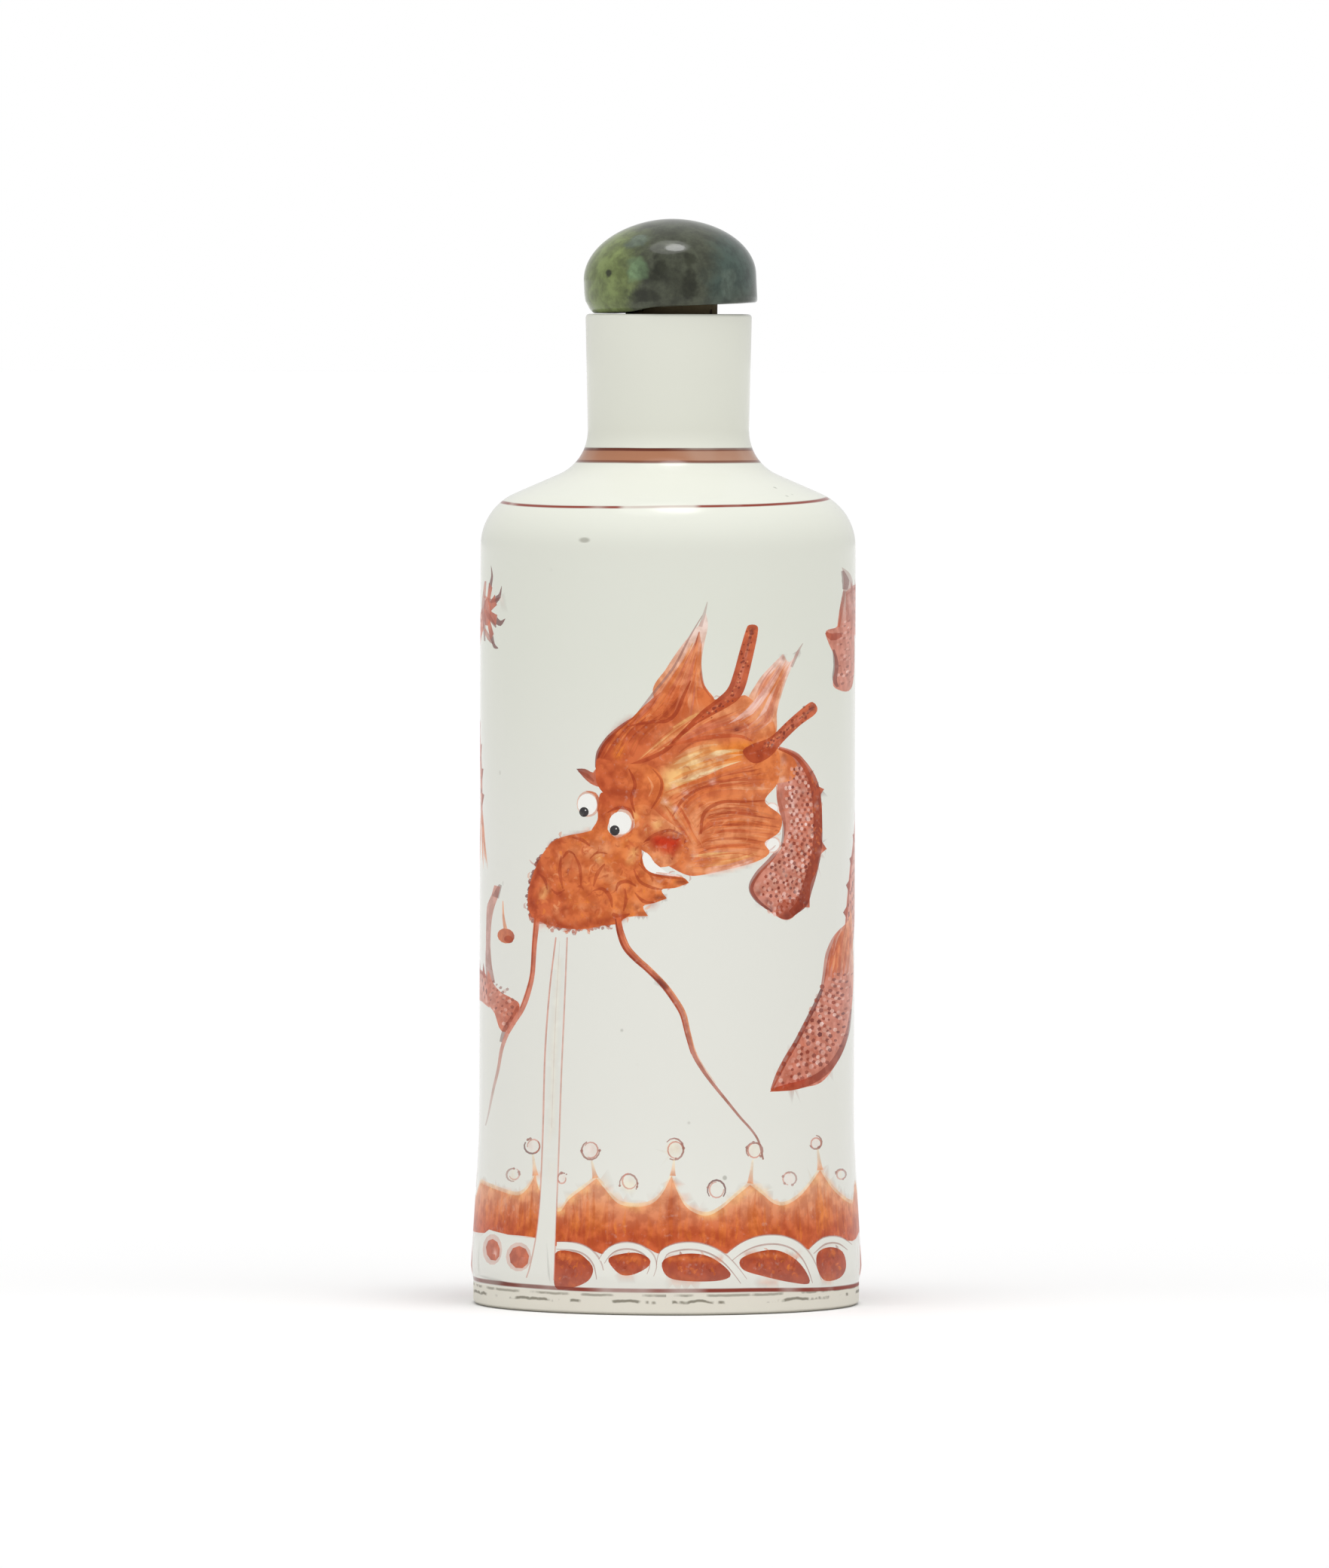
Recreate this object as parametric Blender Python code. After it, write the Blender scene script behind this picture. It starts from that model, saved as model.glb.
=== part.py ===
# A cylindrical porcelain snuff bottle with a domed green stone stopper.
# Metres, +Z up. The origin is the middle of the foot, on the surface that the bottle stands on.
# The front, with the painted dragon's head, looks along -Y.

import math

import bmesh
import bpy
from mathutils import Matrix, Vector

# Bottle, outside
BOTTLE_HEIGHT = 0.0792
BODY_RADIUS = 0.0150
FOOT_FLARE = 0.00065
FOOT_LIP_HEIGHT = 0.0030
FOOT_LIP_ROUND = 0.0006
FOOT_INSET = 0.0002
FOOT_BAND_HEIGHT = 0.0019
FOOT_EDGE_ROUND = 0.0004
FLARE_HEIGHT = 0.0105
FLARE_ROUND = 0.0800
NECK_LENGTH = 0.0118
NECK_RADIUS = 0.0064
NECK_ROOT_ROUND = 0.0038
RIM_FLARE = 0.00025
RIM_ROUND = 0.0003
SHOULDER_SLOPE = math.radians(23.5)
SHOULDER_ROUND = 0.0046

# Bottle, inside and under the foot
WALL = 0.0026
NECK_WALL = 0.0022
FLOOR_THICKNESS = 0.0026
FLOOR_ROUND = 0.0025
FOOT_RING_WIDTH = 0.0023
FOOT_RECESS = 0.0008
FOOT_RING_ROUND = 0.0003

# Stopper cap, which sits a little out of level and off the middle of the mouth
CAP_OVERHANG = 0.00025
CAP_SKIRT_HEIGHT = 0.0023
CAP_DOME_HEIGHT = 0.0048
CAP_EDGE_ROUND = 0.0004
CAP_TILT = math.radians(2.6)
CAP_SHIFT = 0.0002
SEAT_GAP = 0.0003

# Cork, glued into a shallow socket in the cap's underside
CORK_REACH = 0.0080
CORK_CLEARANCE = 0.0003
CORK_TAPER = 0.0001
CORK_END_ROUND = 0.0005
SOCKET_DEPTH = 0.0012
SOCKET_CLEARANCE = 0.0003

# How finely round shapes are cut
BOTTLE_SEGMENTS = 64
STOPPER_SEGMENTS = 40
DOME_STEPS = 10
ROUND_TOLERANCE = 0.00003
SMOOTH_ANGLE = math.radians(35.0)

# The most of a straight run that a round at one of its ends may take
ROUND_SHARE = 0.48


def clear_scene():
    """Removes whatever objects the open file holds."""
    for old in list(bpy.data.objects):
        bpy.data.objects.remove(old)


def make_material(name, colour, roughness):
    """A Principled material with a plain colour and roughness."""
    material = bpy.data.materials.new(name)
    material.use_nodes = True
    shader = material.node_tree.nodes["Principled BSDF"]
    shader.inputs["Base Color"].default_value = (*colour, 1.0)
    shader.inputs["Roughness"].default_value = roughness
    shader.inputs["Metallic"].default_value = 0.0
    return material


def arc_at_corner(before, corner, after, radius):
    """The points of a round of that radius where two straight runs of a profile meet."""
    towards_before = (before - corner).normalized()
    towards_after = (after - corner).normalized()
    turn = math.pi - towards_before.angle(towards_after)
    tangent = min(
        radius * math.tan(turn / 2),
        ROUND_SHARE * (before - corner).length,
        ROUND_SHARE * (after - corner).length,
    )
    radius = tangent / math.tan(turn / 2)
    middle = (towards_before + towards_after).normalized()
    centre = corner + middle * (radius / math.cos(turn / 2))
    start = corner + towards_before * tangent - centre
    chord_turn = 2 * math.acos(1 - min(1.0, ROUND_TOLERANCE / radius))
    steps = math.ceil(turn / chord_turn)
    sweep = -math.copysign(turn, towards_before.cross(towards_after))
    return [
        centre + Matrix.Rotation(sweep * step / steps, 2) @ start
        for step in range(steps + 1)
    ]


def rounded(corners):
    """A profile of (radius, height) points from corners of (radius, height, round)."""
    places = [Vector((across, height)) for across, height, _ in corners]
    points = [places[0]]
    for index in range(1, len(corners) - 1):
        size = corners[index][2]
        if size > 0:
            points += arc_at_corner(places[index - 1], places[index], places[index + 1], size)
        else:
            points.append(places[index])
    return points + [places[-1]]


def turned(name, profile, segments, material):
    """A solid turned about its own Z axis from a profile that starts and ends on that axis."""
    shape = bmesh.new()
    line = [shape.verts.new((across, 0.0, height)) for across, height in profile]
    edges = [shape.edges.new(pair) for pair in zip(line, line[1:])]
    bmesh.ops.spin(
        shape,
        geom=line + edges,
        cent=(0, 0, 0),
        axis=(0, 0, 1),
        angle=2 * math.pi,
        steps=segments,
        use_merge=True,
    )
    bmesh.ops.remove_doubles(shape, verts=shape.verts, dist=1e-7)
    bmesh.ops.recalc_face_normals(shape, faces=shape.faces)
    mesh = bpy.data.meshes.new(name)
    shape.to_mesh(mesh)
    shape.free()
    mesh.shade_smooth()
    mesh.set_sharp_from_angle(angle=SMOOTH_ANGLE)
    mesh.materials.append(material)
    made = bpy.data.objects.new(name, mesh)
    bpy.context.scene.collection.objects.link(made)
    return made


def bore_radius():
    """The inside radius of the neck, which the cork goes down."""
    return NECK_RADIUS - NECK_WALL


def rim_radius():
    """The outside radius of the mouth rim, which the cap covers."""
    return NECK_RADIUS + RIM_FLARE


def bottle_profile():
    """From the middle of the underside, round the foot, up the outside and down the inside."""
    lip_radius = BODY_RADIUS + FOOT_FLARE
    foot_radius = lip_radius - FOOT_INSET
    ring_inner_radius = foot_radius - FOOT_RING_WIDTH
    fall = math.tan(SHOULDER_SLOPE)
    neck_root = BOTTLE_HEIGHT - NECK_LENGTH
    shoulder = neck_root - (BODY_RADIUS - NECK_RADIUS) * fall
    inner_radius = BODY_RADIUS - WALL
    under_slope = WALL / math.cos(SHOULDER_SLOPE)
    bore_end = neck_root + NECK_WALL * fall - under_slope
    inner_shoulder = neck_root - (inner_radius - NECK_RADIUS) * fall - under_slope
    inner_floor = FOOT_RECESS + FLOOR_THICKNESS
    return rounded(
        [
            (0.0, FOOT_RECESS, 0.0),
            (ring_inner_radius, FOOT_RECESS, FOOT_RING_ROUND),
            (ring_inner_radius, 0.0, FOOT_RING_ROUND),
            (foot_radius, 0.0, FOOT_EDGE_ROUND),
            (foot_radius, FOOT_BAND_HEIGHT, 0.0),
            (lip_radius, FOOT_LIP_HEIGHT, FOOT_LIP_ROUND),
            (BODY_RADIUS, FOOT_LIP_HEIGHT + FLARE_HEIGHT, FLARE_ROUND),
            (BODY_RADIUS, shoulder, SHOULDER_ROUND),
            (NECK_RADIUS, neck_root, NECK_ROOT_ROUND),
            (rim_radius(), BOTTLE_HEIGHT, RIM_ROUND),
            (bore_radius(), BOTTLE_HEIGHT, RIM_ROUND),
            (bore_radius(), bore_end, NECK_ROOT_ROUND),
            (inner_radius, inner_shoulder, SHOULDER_ROUND - WALL),
            (inner_radius, inner_floor, FLOOR_ROUND),
            (0.0, inner_floor, 0.0),
        ]
    )


def cork_radii():
    """The cork's radius at the cap and at its free end. It clears the bore though it leans."""
    sway = CORK_REACH * math.sin(CAP_TILT)
    top = bore_radius() - CORK_CLEARANCE - CAP_SHIFT
    return top, top - sway - CORK_TAPER


def cap_profile():
    """From the socket's ceiling, out under the cap, up its skirt and over the dome."""
    cap_radius = rim_radius() + CAP_OVERHANG
    socket_radius = cork_radii()[0] + SOCKET_CLEARANCE
    top = CAP_SKIRT_HEIGHT + CAP_DOME_HEIGHT
    under = rounded(
        [
            (0.0, SOCKET_DEPTH, 0.0),
            (socket_radius, SOCKET_DEPTH, 0.0),
            (socket_radius, 0.0, 0.0),
            (cap_radius, 0.0, CAP_EDGE_ROUND),
            (cap_radius, CAP_SKIRT_HEIGHT, 0.0),
        ]
    )
    angles = [math.pi / 2 * step / DOME_STEPS for step in range(1, DOME_STEPS)]
    dome = [
        (cap_radius * math.cos(angle), CAP_SKIRT_HEIGHT + CAP_DOME_HEIGHT * math.sin(angle))
        for angle in angles
    ]
    return under + dome + [(0.0, top)]


def cork_profile():
    """From the middle of the free end, up the tapering side, to the end inside the socket."""
    top_radius, end_radius = cork_radii()
    top = SOCKET_DEPTH - SOCKET_CLEARANCE
    return rounded(
        [
            (0.0, -CORK_REACH, 0.0),
            (end_radius, -CORK_REACH, CORK_END_ROUND),
            (top_radius, 0.0, 0.0),
            (top_radius, top, 0.0),
            (0.0, top, 0.0),
        ]
    )


def stopper_seat():
    """An empty in the mouth of the neck. The stopper's pieces hang on it and lean with it."""
    seat = bpy.data.objects.new("stopper_seat", None)
    bpy.context.scene.collection.objects.link(seat)
    lift = SEAT_GAP + (rim_radius() + CAP_SHIFT) * math.sin(CAP_TILT)
    seat.location = (CAP_SHIFT, 0.0, BOTTLE_HEIGHT + lift)
    seat.rotation_euler = (0.0, -CAP_TILT, 0.0)
    return seat


def main():
    clear_scene()
    porcelain = make_material("porcelain", (0.78, 0.78, 0.71), 0.12)
    green_stone = make_material("green_stone", (0.10, 0.14, 0.08), 0.15)
    cork = make_material("cork", (0.36, 0.21, 0.11), 0.85)
    turned("bottle", bottle_profile(), BOTTLE_SEGMENTS, porcelain)
    seat = stopper_seat()
    for name, profile, material in (
        ("stopper_cap", cap_profile(), green_stone),
        ("stopper_cork", cork_profile(), cork),
    ):
        piece = turned(name, profile, STOPPER_SEGMENTS, material)
        piece.parent = seat


main()
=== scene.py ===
# The looks of a porcelain snuff bottle with a domed green stone stopper on a cork.
# The porcelain is painted over the glaze in iron red: a dragon, and waves round the foot.
# The enamel is colour on the wall of the bottle, held by the mesh, and nothing of it is raised.

import math

import bmesh
import bpy
import numpy as np
from bpy.props import FloatProperty, FloatVectorProperty, IntProperty, PointerProperty
from mathutils import Matrix, Vector
from mathutils.geometry import delaunay_2d_cdt


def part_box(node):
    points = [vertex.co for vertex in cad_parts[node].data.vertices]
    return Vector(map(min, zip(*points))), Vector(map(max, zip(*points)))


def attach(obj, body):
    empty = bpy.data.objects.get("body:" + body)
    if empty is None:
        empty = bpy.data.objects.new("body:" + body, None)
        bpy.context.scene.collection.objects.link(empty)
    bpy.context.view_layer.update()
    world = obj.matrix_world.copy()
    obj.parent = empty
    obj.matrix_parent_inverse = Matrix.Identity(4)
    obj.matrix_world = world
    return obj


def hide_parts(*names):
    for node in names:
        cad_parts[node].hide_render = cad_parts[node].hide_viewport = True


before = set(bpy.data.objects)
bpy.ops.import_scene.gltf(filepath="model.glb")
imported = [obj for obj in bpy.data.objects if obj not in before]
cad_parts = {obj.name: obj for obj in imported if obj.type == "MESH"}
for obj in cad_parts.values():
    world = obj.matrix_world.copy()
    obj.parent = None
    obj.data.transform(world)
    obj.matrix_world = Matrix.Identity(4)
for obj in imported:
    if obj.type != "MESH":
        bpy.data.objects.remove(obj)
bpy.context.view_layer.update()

bl_info = {
    "name": "Painted snuff bottle",
    "version": (1, 0, 0),
    "blender": (4, 5, 0),
    "location": "3D View > Sidebar > Snuff bottle",
    "description": "Makes a painted porcelain snuff bottle with its stone stopper and cork",
    "category": "Object",
}

MM = 0.001
BOTTLE_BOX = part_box("bottle")


def linear(red, green, blue):
    """A colour as the eye reads it, from 0 to 255, as the linear values that Blender takes."""
    values = [value / 255 for value in (red, green, blue)]
    return tuple(v / 12.92 if v <= 0.04045 else ((v + 0.055) / 1.055) ** 2.4 for v in values)


def length(name, description, default, low=0.0):
    """A length property, in metres."""
    return FloatProperty(
        name=name, description=description, default=default, min=low, unit="LENGTH", precision=5
    )


def angle(name, description, degrees):
    """An angle property."""
    return FloatProperty(
        name=name, description=description, default=math.radians(degrees), subtype="ANGLE"
    )


def strength(name, description, default):
    """The strength of a light."""
    return FloatProperty(name=name, description=description, default=default, min=0.0)


def steps_round(description, default):
    """How many steps a turned piece has all round."""
    return IntProperty(name="Segments", description=description, default=default, min=24, max=256)


def colour(name, description, *levels):
    """A colour property, from levels of 0 to 255."""
    return FloatVectorProperty(
        name=name, description=description, subtype="COLOR", size=3, min=0.0, max=1.0,
        default=linear(*levels),
    )


class BottleSizes(bpy.types.PropertyGroup):
    """The bottle's sizes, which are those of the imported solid."""

    height: length("Height", "From the foot to the mouth rim", BOTTLE_BOX[1].z)
    lip: length("Foot lip radius", "The widest part, over the foot", BOTTLE_BOX[1].x)
    body: length("Body radius", "The wall's outside radius", 0.0150)
    lip_height: length("Foot lip height", "Where the foot is widest", 0.0030)
    lip_round: length("Foot lip round", "How rounded the lip is", 0.0006)
    foot_inset: length("Foot inset", "How far the foot stands back from the lip", 0.0002)
    foot_band: length("Foot band", "Height of the upright band at the foot", 0.0019)
    foot_edge: length("Foot edge round", "Round at the bottom of the foot", 0.0004)
    flare: length("Flare height", "How far up the foot's flare runs", 0.0105)
    flare_round: length("Flare round", "How softly the flare meets the wall", 0.0800)
    neck: length("Neck length", "From the shoulder to the rim", 0.0118)
    neck_radius: length("Neck radius", "The neck's outside radius at its root", 0.0064)
    neck_root: length("Neck root round", "How softly the neck meets the shoulder", 0.0038)
    rim_flare: length("Rim flare", "How much wider the neck is at the rim", 0.00025)
    rim_round: length("Rim round", "Round of the mouth rim", 0.0003)
    shoulder_slope: angle("Shoulder slope", "Fall of the shoulder", 23.5)
    shoulder_round: length("Shoulder round", "Round between shoulder and wall", 0.0046)
    wall: length("Wall", "Thickness of the wall", 0.0026)
    neck_wall: length("Neck wall", "Thickness of the neck", 0.0022)
    floor: length("Floor", "Thickness of the floor", 0.0026)
    floor_round: length("Floor round", "Round between wall and floor inside", 0.0025)
    ring_width: length("Foot ring width", "Width of the ring it stands on", 0.0023)
    recess: length("Foot recess", "Depth of the underside within the ring", 0.0008)
    ring_round: length("Foot ring round", "Round of the ring's inner edges", 0.0003)
    segments: steps_round("Steps round the bottle", 192)


class StopperSizes(bpy.types.PropertyGroup):
    """The stopper's sizes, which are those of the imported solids."""

    overhang: length("Overhang", "How far the cap stands over the rim", 0.00025)
    skirt: length("Skirt", "Height of the cap's upright side", 0.0023)
    dome: length("Dome", "Height of the cap's dome", 0.0047)
    edge: length("Cap edge round", "Round of the cap's lower edge", 0.00025)
    worn_edge: length("Worn edge", "How far the low side's edge is rounded away", 0.0006)
    worn_height: length("Worn edge height", "How far up the wear runs", 0.0011)
    sag: length("Low side", "How much lower the skirt runs on its low side", 0.00027)
    tilt: angle("Lean", "How far the stopper leans", 2.6)
    shift: length("Shift", "How far the stopper is off the axis", 0.0002)
    gap: length("Seat gap", "Least gap between rim and cap", 0.0003)
    reach: length("Cork reach", "How far the cork goes down the neck", 0.0080)
    clearance: length("Cork clearance", "Gap between cork and neck", 0.0003)
    taper: length("Cork taper", "How much narrower the cork's end is", 0.0001)
    end_round: length("Cork end round", "Round of the cork's free end", 0.0005)
    socket: length("Socket depth", "Depth of the hole that takes the cork", 0.0012)
    socket_gap: length("Socket gap", "Gap between cork and socket", 0.0003)
    segments: steps_round("Steps round the stopper", 128)


class EnamelColours(bpy.types.PropertyGroup):
    """The enamels that the painter uses over the glaze."""

    rust: colour("Rust", "Darkest iron red, for outlines", 138, 50, 26)
    brick: colour("Brick", "Dark iron red", 172, 68, 32)
    red: colour("Iron red", "The main iron red", 200, 93, 50)
    orange: colour("Orange", "Iron red in a thin wash", 219, 119, 62)
    glow: colour("Bright orange", "The warmest wash", 224, 124, 42)
    peach: colour("Peach", "A pale wash", 229, 150, 102)
    amber: colour("Amber", "Pale yellow between the locks", 236, 180, 114)
    straw: colour("Straw", "Palest yellow, at the edge of a wash", 238, 216, 172)
    blush: colour("Blush", "Pale pink lights", 240, 202, 190)
    rose: colour("Rose", "Pink ground of the scales", 203, 121, 98)
    plum: colour("Plum", "Dark purple brown of scales and claws", 112, 48, 44)
    mauve: colour("Mauve", "Thin purple brown lines", 168, 122, 112)
    scarlet: colour("Scarlet", "Inside of the mouth", 190, 46, 12)
    soot: colour("Soot", "The pupils", 34, 30, 34)
    white: colour("White", "The eyes and fangs", 246, 245, 240)
    cream: colour("Cream", "The stream of water", 234, 230, 217)


class FinishColours(bpy.types.PropertyGroup):
    """The glaze, the stone and the cork."""

    glaze: colour("Glaze", "The white of the wall", 231, 231, 223)
    upper_wall_tone: colour("Cool glaze", "The grey green of the upper wall", 225, 227, 215)
    neck_tone: colour("Neck glaze", "The greyer white of the neck", 227, 228, 216)
    foot: colour("Foot band", "Ivory of the bare foot", 228, 224, 211)
    band: colour("Neck band", "The painted band round the neck", 168, 108, 74)
    line: colour("Line", "The thin painted lines", 138, 58, 44)
    # Also laid along the neck band's lower edge, as painted shade in the crease at the neck's root.
    dark_line_and_crease_shade: colour("Dark line", "The lines at the neck band", 104, 52, 38)
    # Also laid along the foot's lowest edge, as painted contact shadow where the foot meets the floor.
    soil_and_contact_shade: colour("Soil", "The broken brown marks on the foot", 92, 84, 62)
    olive: colour("Olive", "The stone's light side", 112, 124, 76)
    stone: colour("Dark stone", "The stone's dark middle", 70, 73, 60)
    inclusion_and_dark_reflection: colour("Inclusions", "The stone's darkest patches", 40, 42, 30)
    # Also laid as painted reflection: dark patches on the front of the dome, where the polished stone
    # mirrors a dark room.
    teal: colour("Teal", "The stone's grey teal side", 62, 76, 70)
    jade: colour("Jade", "A pale green patch in the stone", 122, 150, 112)
    ash: colour("Ash", "A grey teal patch in the stone", 96, 108, 98)
    # The cork's body is painted darker and greyer than fresh cork, as shade for the cork in the gap under
    # the cap.
    cork: colour("Cork", "The cork's body", 124, 110, 82)
    pore: colour("Cork pores", "The cork's dark pores", 46, 30, 20)


class StageLook(bpy.types.PropertyGroup):
    """The camera, the lights and the floor."""

    distance: length("Camera distance", "From the axis to the camera", 1.2)
    camera_height: length("Camera height", "Height of the camera", 0.0790)
    aim_height: length("Aim height", "Height on the axis that the camera looks at", 0.0416)
    aim_side: FloatProperty(
        name="Aim to the side", description="Sideways aim, in metres", default=-0.00024
    )
    roll: angle("Roll", "Turn of the picture", 0.15)
    lens: FloatProperty(name="Lens", description="Focal length in mm", default=344.4, min=1.0)
    floor_size: length("Floor size", "Side of the floor", 40.0)
    floor_colour: colour("Floor", "The pale floor", 246, 246, 246)
    room_light: strength("Room light", "Strength of the light all round", 0.40)
    top_light: strength("Top light", "Strength of the soft light overhead", 0.45)
    halo_light: strength("Halo", "Strength of the wide highlight", 0.55)
    core_light: strength("Highlight", "Strength of the small highlight", 0.65)
    side_light: strength("Side lights", "Strength of the two front lights", 0.52)


def turned_corner(before, corner, after, radius, tolerance):
    """The points of a round of that radius where two straight runs of a profile meet."""
    towards_before = (before - corner).normalized()
    towards_after = (after - corner).normalized()
    turn = math.pi - towards_before.angle(towards_after)
    tangent = min(
        radius * math.tan(turn / 2),
        0.48 * (before - corner).length,
        0.48 * (after - corner).length,
    )
    radius = tangent / math.tan(turn / 2)
    middle = (towards_before + towards_after).normalized()
    centre = corner + middle * (radius / math.cos(turn / 2))
    start = corner + towards_before * tangent - centre
    steps = math.ceil(turn / (2 * math.acos(1 - min(1.0, tolerance / radius))))
    sweep = -math.copysign(turn, towards_before.cross(towards_after))
    return [centre + Matrix.Rotation(sweep * n / steps, 2) @ start for n in range(steps + 1)]


def rounded(corners, tolerance=0.000006):
    """A profile of (radius, height) points from corners of (radius, height, round)."""
    places = [Vector((across, height)) for across, height, _ in corners]
    points = [places[0]]
    for n in range(1, len(corners) - 1):
        size = corners[n][2]
        if size > 0:
            points += turned_corner(places[n - 1], places[n], places[n + 1], size, tolerance)
        else:
            points.append(places[n])
    return points + [places[-1]]


def stepped(points, longest):
    """The same profile with no run longer than that, so that the faces stay near square."""
    result = [points[0]]
    for start, end in zip(points, points[1:]):
        steps = max(1, math.ceil((end - start).length / longest))
        result += [start.lerp(end, n / steps) for n in range(1, steps + 1)]
    return result


def bottle_profile(sizes):
    """From the middle of the underside, round the foot, up the outside and down the inside."""
    foot = sizes.lip - sizes.foot_inset
    ring = foot - sizes.ring_width
    fall = math.tan(sizes.shoulder_slope)
    neck_root = sizes.height - sizes.neck
    shoulder = neck_root - (sizes.body - sizes.neck_radius) * fall
    inner = sizes.body - sizes.wall
    bore = sizes.neck_radius - sizes.neck_wall
    under_slope = sizes.wall / math.cos(sizes.shoulder_slope)
    bore_end = neck_root + sizes.neck_wall * fall - under_slope
    inner_shoulder = neck_root - (inner - sizes.neck_radius) * fall - under_slope
    floor = sizes.recess + sizes.floor
    return rounded(
        [
            (0.0, sizes.recess, 0.0),
            (ring, sizes.recess, sizes.ring_round),
            (ring, 0.0, sizes.ring_round),
            (foot, 0.0, sizes.foot_edge),
            (foot, sizes.foot_band, 0.0),
            (sizes.lip, sizes.lip_height, sizes.lip_round),
            (sizes.body, sizes.lip_height + sizes.flare, sizes.flare_round),
            (sizes.body, shoulder, sizes.shoulder_round),
            (sizes.neck_radius, neck_root, sizes.neck_root),
            (sizes.neck_radius + sizes.rim_flare, sizes.height, sizes.rim_round),
            (bore, sizes.height, sizes.rim_round),
            (bore, bore_end, sizes.neck_root),
            (inner, inner_shoulder, sizes.shoulder_round - sizes.wall),
            (inner, floor, sizes.floor_round),
            (0.0, floor, 0.0),
        ]
    )


# The wall unrolled. Places on it are (u, z) in mm: u runs round it at the body's radius, from the
# middle of the front to the viewer's right, and z is the height.

UNROLLED_RADIUS = 15.0
HALF_ROUND = math.pi * UNROLLED_RADIUS
WALL_TOP = 60.3
# The longest runs of the turned pieces' profiles, in metres
BOTTLE_RUN = 0.006
STOPPER_RUN = 0.0006
# Points of the bottle closer to the axis than this aren't on the painted wall, in mm
WALL_INNER = 14.5
# Steps up the wall's two upright seams, and how far marks stay from the wall's ends, in mm
SEAM_STEPS = 60
END_MARGIN = 0.03


class Wall:
    """The part of the bottle's outside that carries the painting."""

    def __init__(self, profile, low):
        outside = [(p.y / MM, p.x / MM) for p in profile if p.x > WALL_INNER * MM]
        outside = [pair for pair in outside if low - 0.01 <= pair[0] <= WALL_TOP + 1]
        self.heights, self.radii = (np.array(values) for values in zip(*outside))
        self.low = low
        self.high = WALL_TOP

    def radius(self, height):
        return np.interp(height, self.heights, self.radii)

    def positions(self, places):
        """The points in metres of places on the wall."""
        turn = places[:, 0] / UNROLLED_RADIUS
        radius = self.radius(places[:, 1])
        across = np.stack([radius * np.sin(turn), -radius * np.cos(turn), places[:, 1]], 1)
        return across * MM

    def normals(self, places):
        """The way that the smooth wall faces at each place."""
        turn = places[:, 0] / UNROLLED_RADIUS
        step = 0.15
        rise = self.radius(places[:, 1] + step) - self.radius(places[:, 1] - step)
        out = np.stack([np.sin(turn), -np.cos(turn), -rise / (2 * step)], 1)
        return out / np.linalg.norm(out, axis=1)[:, None]


# How far to each side the wall can be seen from the front in mm, and the narrowest mark drawn there
VIEW_HALF = 15.1
NARROWEST = 0.3


class FrontView:
    """Turns places seen from the front, in mm to the right of the axis and mm up, into the wall's."""

    def __init__(self, wall, distance, height):
        self.wall = wall
        self.distance = distance / MM
        self.height = height / MM

    def __call__(self, points):
        across, up = np.asarray(points, float).T
        far = self.distance
        z = up
        for _ in range(3):
            radius = self.wall.radius(z)
            inside = far**4 - (across**2 + far**2) * (far**2 - radius**2)
            share = (far**2 - np.sqrt(np.maximum(inside, 0.0))) / (across**2 + far**2)
            z = self.height + (up - self.height) * share
        turn = np.arctan2(across * share, far * (1 - share))
        return np.stack([turn * UNROLLED_RADIUS, z], 1)


def as_placed(points):
    """Places that are given on the wall already."""
    return np.asarray(points, float)


def curve(points, closed=False, step=0.3):
    """A smooth line through the points. A point given twice in a row makes a corner."""
    points = np.asarray(points, float)
    count = len(points)
    result = []
    for n in range(count if closed else count - 1):
        start, end = points[n], points[(n + 1) % count]
        before = points[n - 1] if closed or n else start
        after = points[(n + 2) % count] if closed or n + 2 < count else end
        reach = math.dist(start, end)
        if reach < 1e-9:
            continue
        steps = max(1, math.ceil(reach / step))
        t = np.arange(steps)[:, None] / steps
        leave, arrive = (end - before) / 2, (after - start) / 2
        if math.dist(start, before) < 1e-9:
            leave = (end - start) * 0.5
        if math.dist(end, after) < 1e-9:
            arrive = (end - start) * 0.5
        result.append(
            (2 * t**3 - 3 * t**2 + 1) * start
            + (t**3 - 2 * t**2 + t) * leave
            + (3 * t**2 - 2 * t**3) * end
            + (t**3 - t**2) * arrive
        )
    if not closed:
        result.append(points[-1:])
    return np.concatenate(result)


def run_lengths(line):
    """The lengths of a line's straight runs."""
    return np.linalg.norm(np.diff(line, axis=0), axis=1)


def resampled(line, count):
    """The same line as that many points, evenly apart."""
    runs = np.concatenate([[0], np.cumsum(run_lengths(line))])
    wanted = np.linspace(0, runs[-1], count)
    return np.stack([np.interp(wanted, runs, line[:, axis]) for axis in (0, 1)], 1)


def sideways(line):
    """The unit vectors to the left of a line at each of its points."""
    ahead = np.gradient(line, axis=0)
    ahead /= np.maximum(np.linalg.norm(ahead, axis=1), 1e-9)[:, None]
    return np.stack([-ahead[:, 1], ahead[:, 0]], 1)


def spread(widths, count):
    """Widths spread evenly over that many points."""
    return np.interp(np.linspace(0, 1, count), np.linspace(0, 1, len(widths)), widths)


def widened(line, widths):
    """The outline of a brush stroke along a line. The widths are spread evenly along it."""
    side = sideways(line) * (spread(widths, len(line)) / 2)[:, None]
    return np.concatenate([line + side, (line - side)[::-1]])


def inside(places, outline):
    """Which places an outline winds round."""
    ends = np.roll(outline, -1, axis=0)
    x, y = places[:, 0, None], places[:, 1, None]
    x1, y1, x2, y2 = outline[:, 0], outline[:, 1], ends[:, 0], ends[:, 1]
    turn = (x2 - x1) * (y - y1) - (x - x1) * (y2 - y1)
    up = (y1 <= y) & (y2 > y) & (turn > 0)
    down = (y1 > y) & (y2 <= y) & (turn < 0)
    return (up.sum(1) - down.sum(1)) != 0


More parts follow.
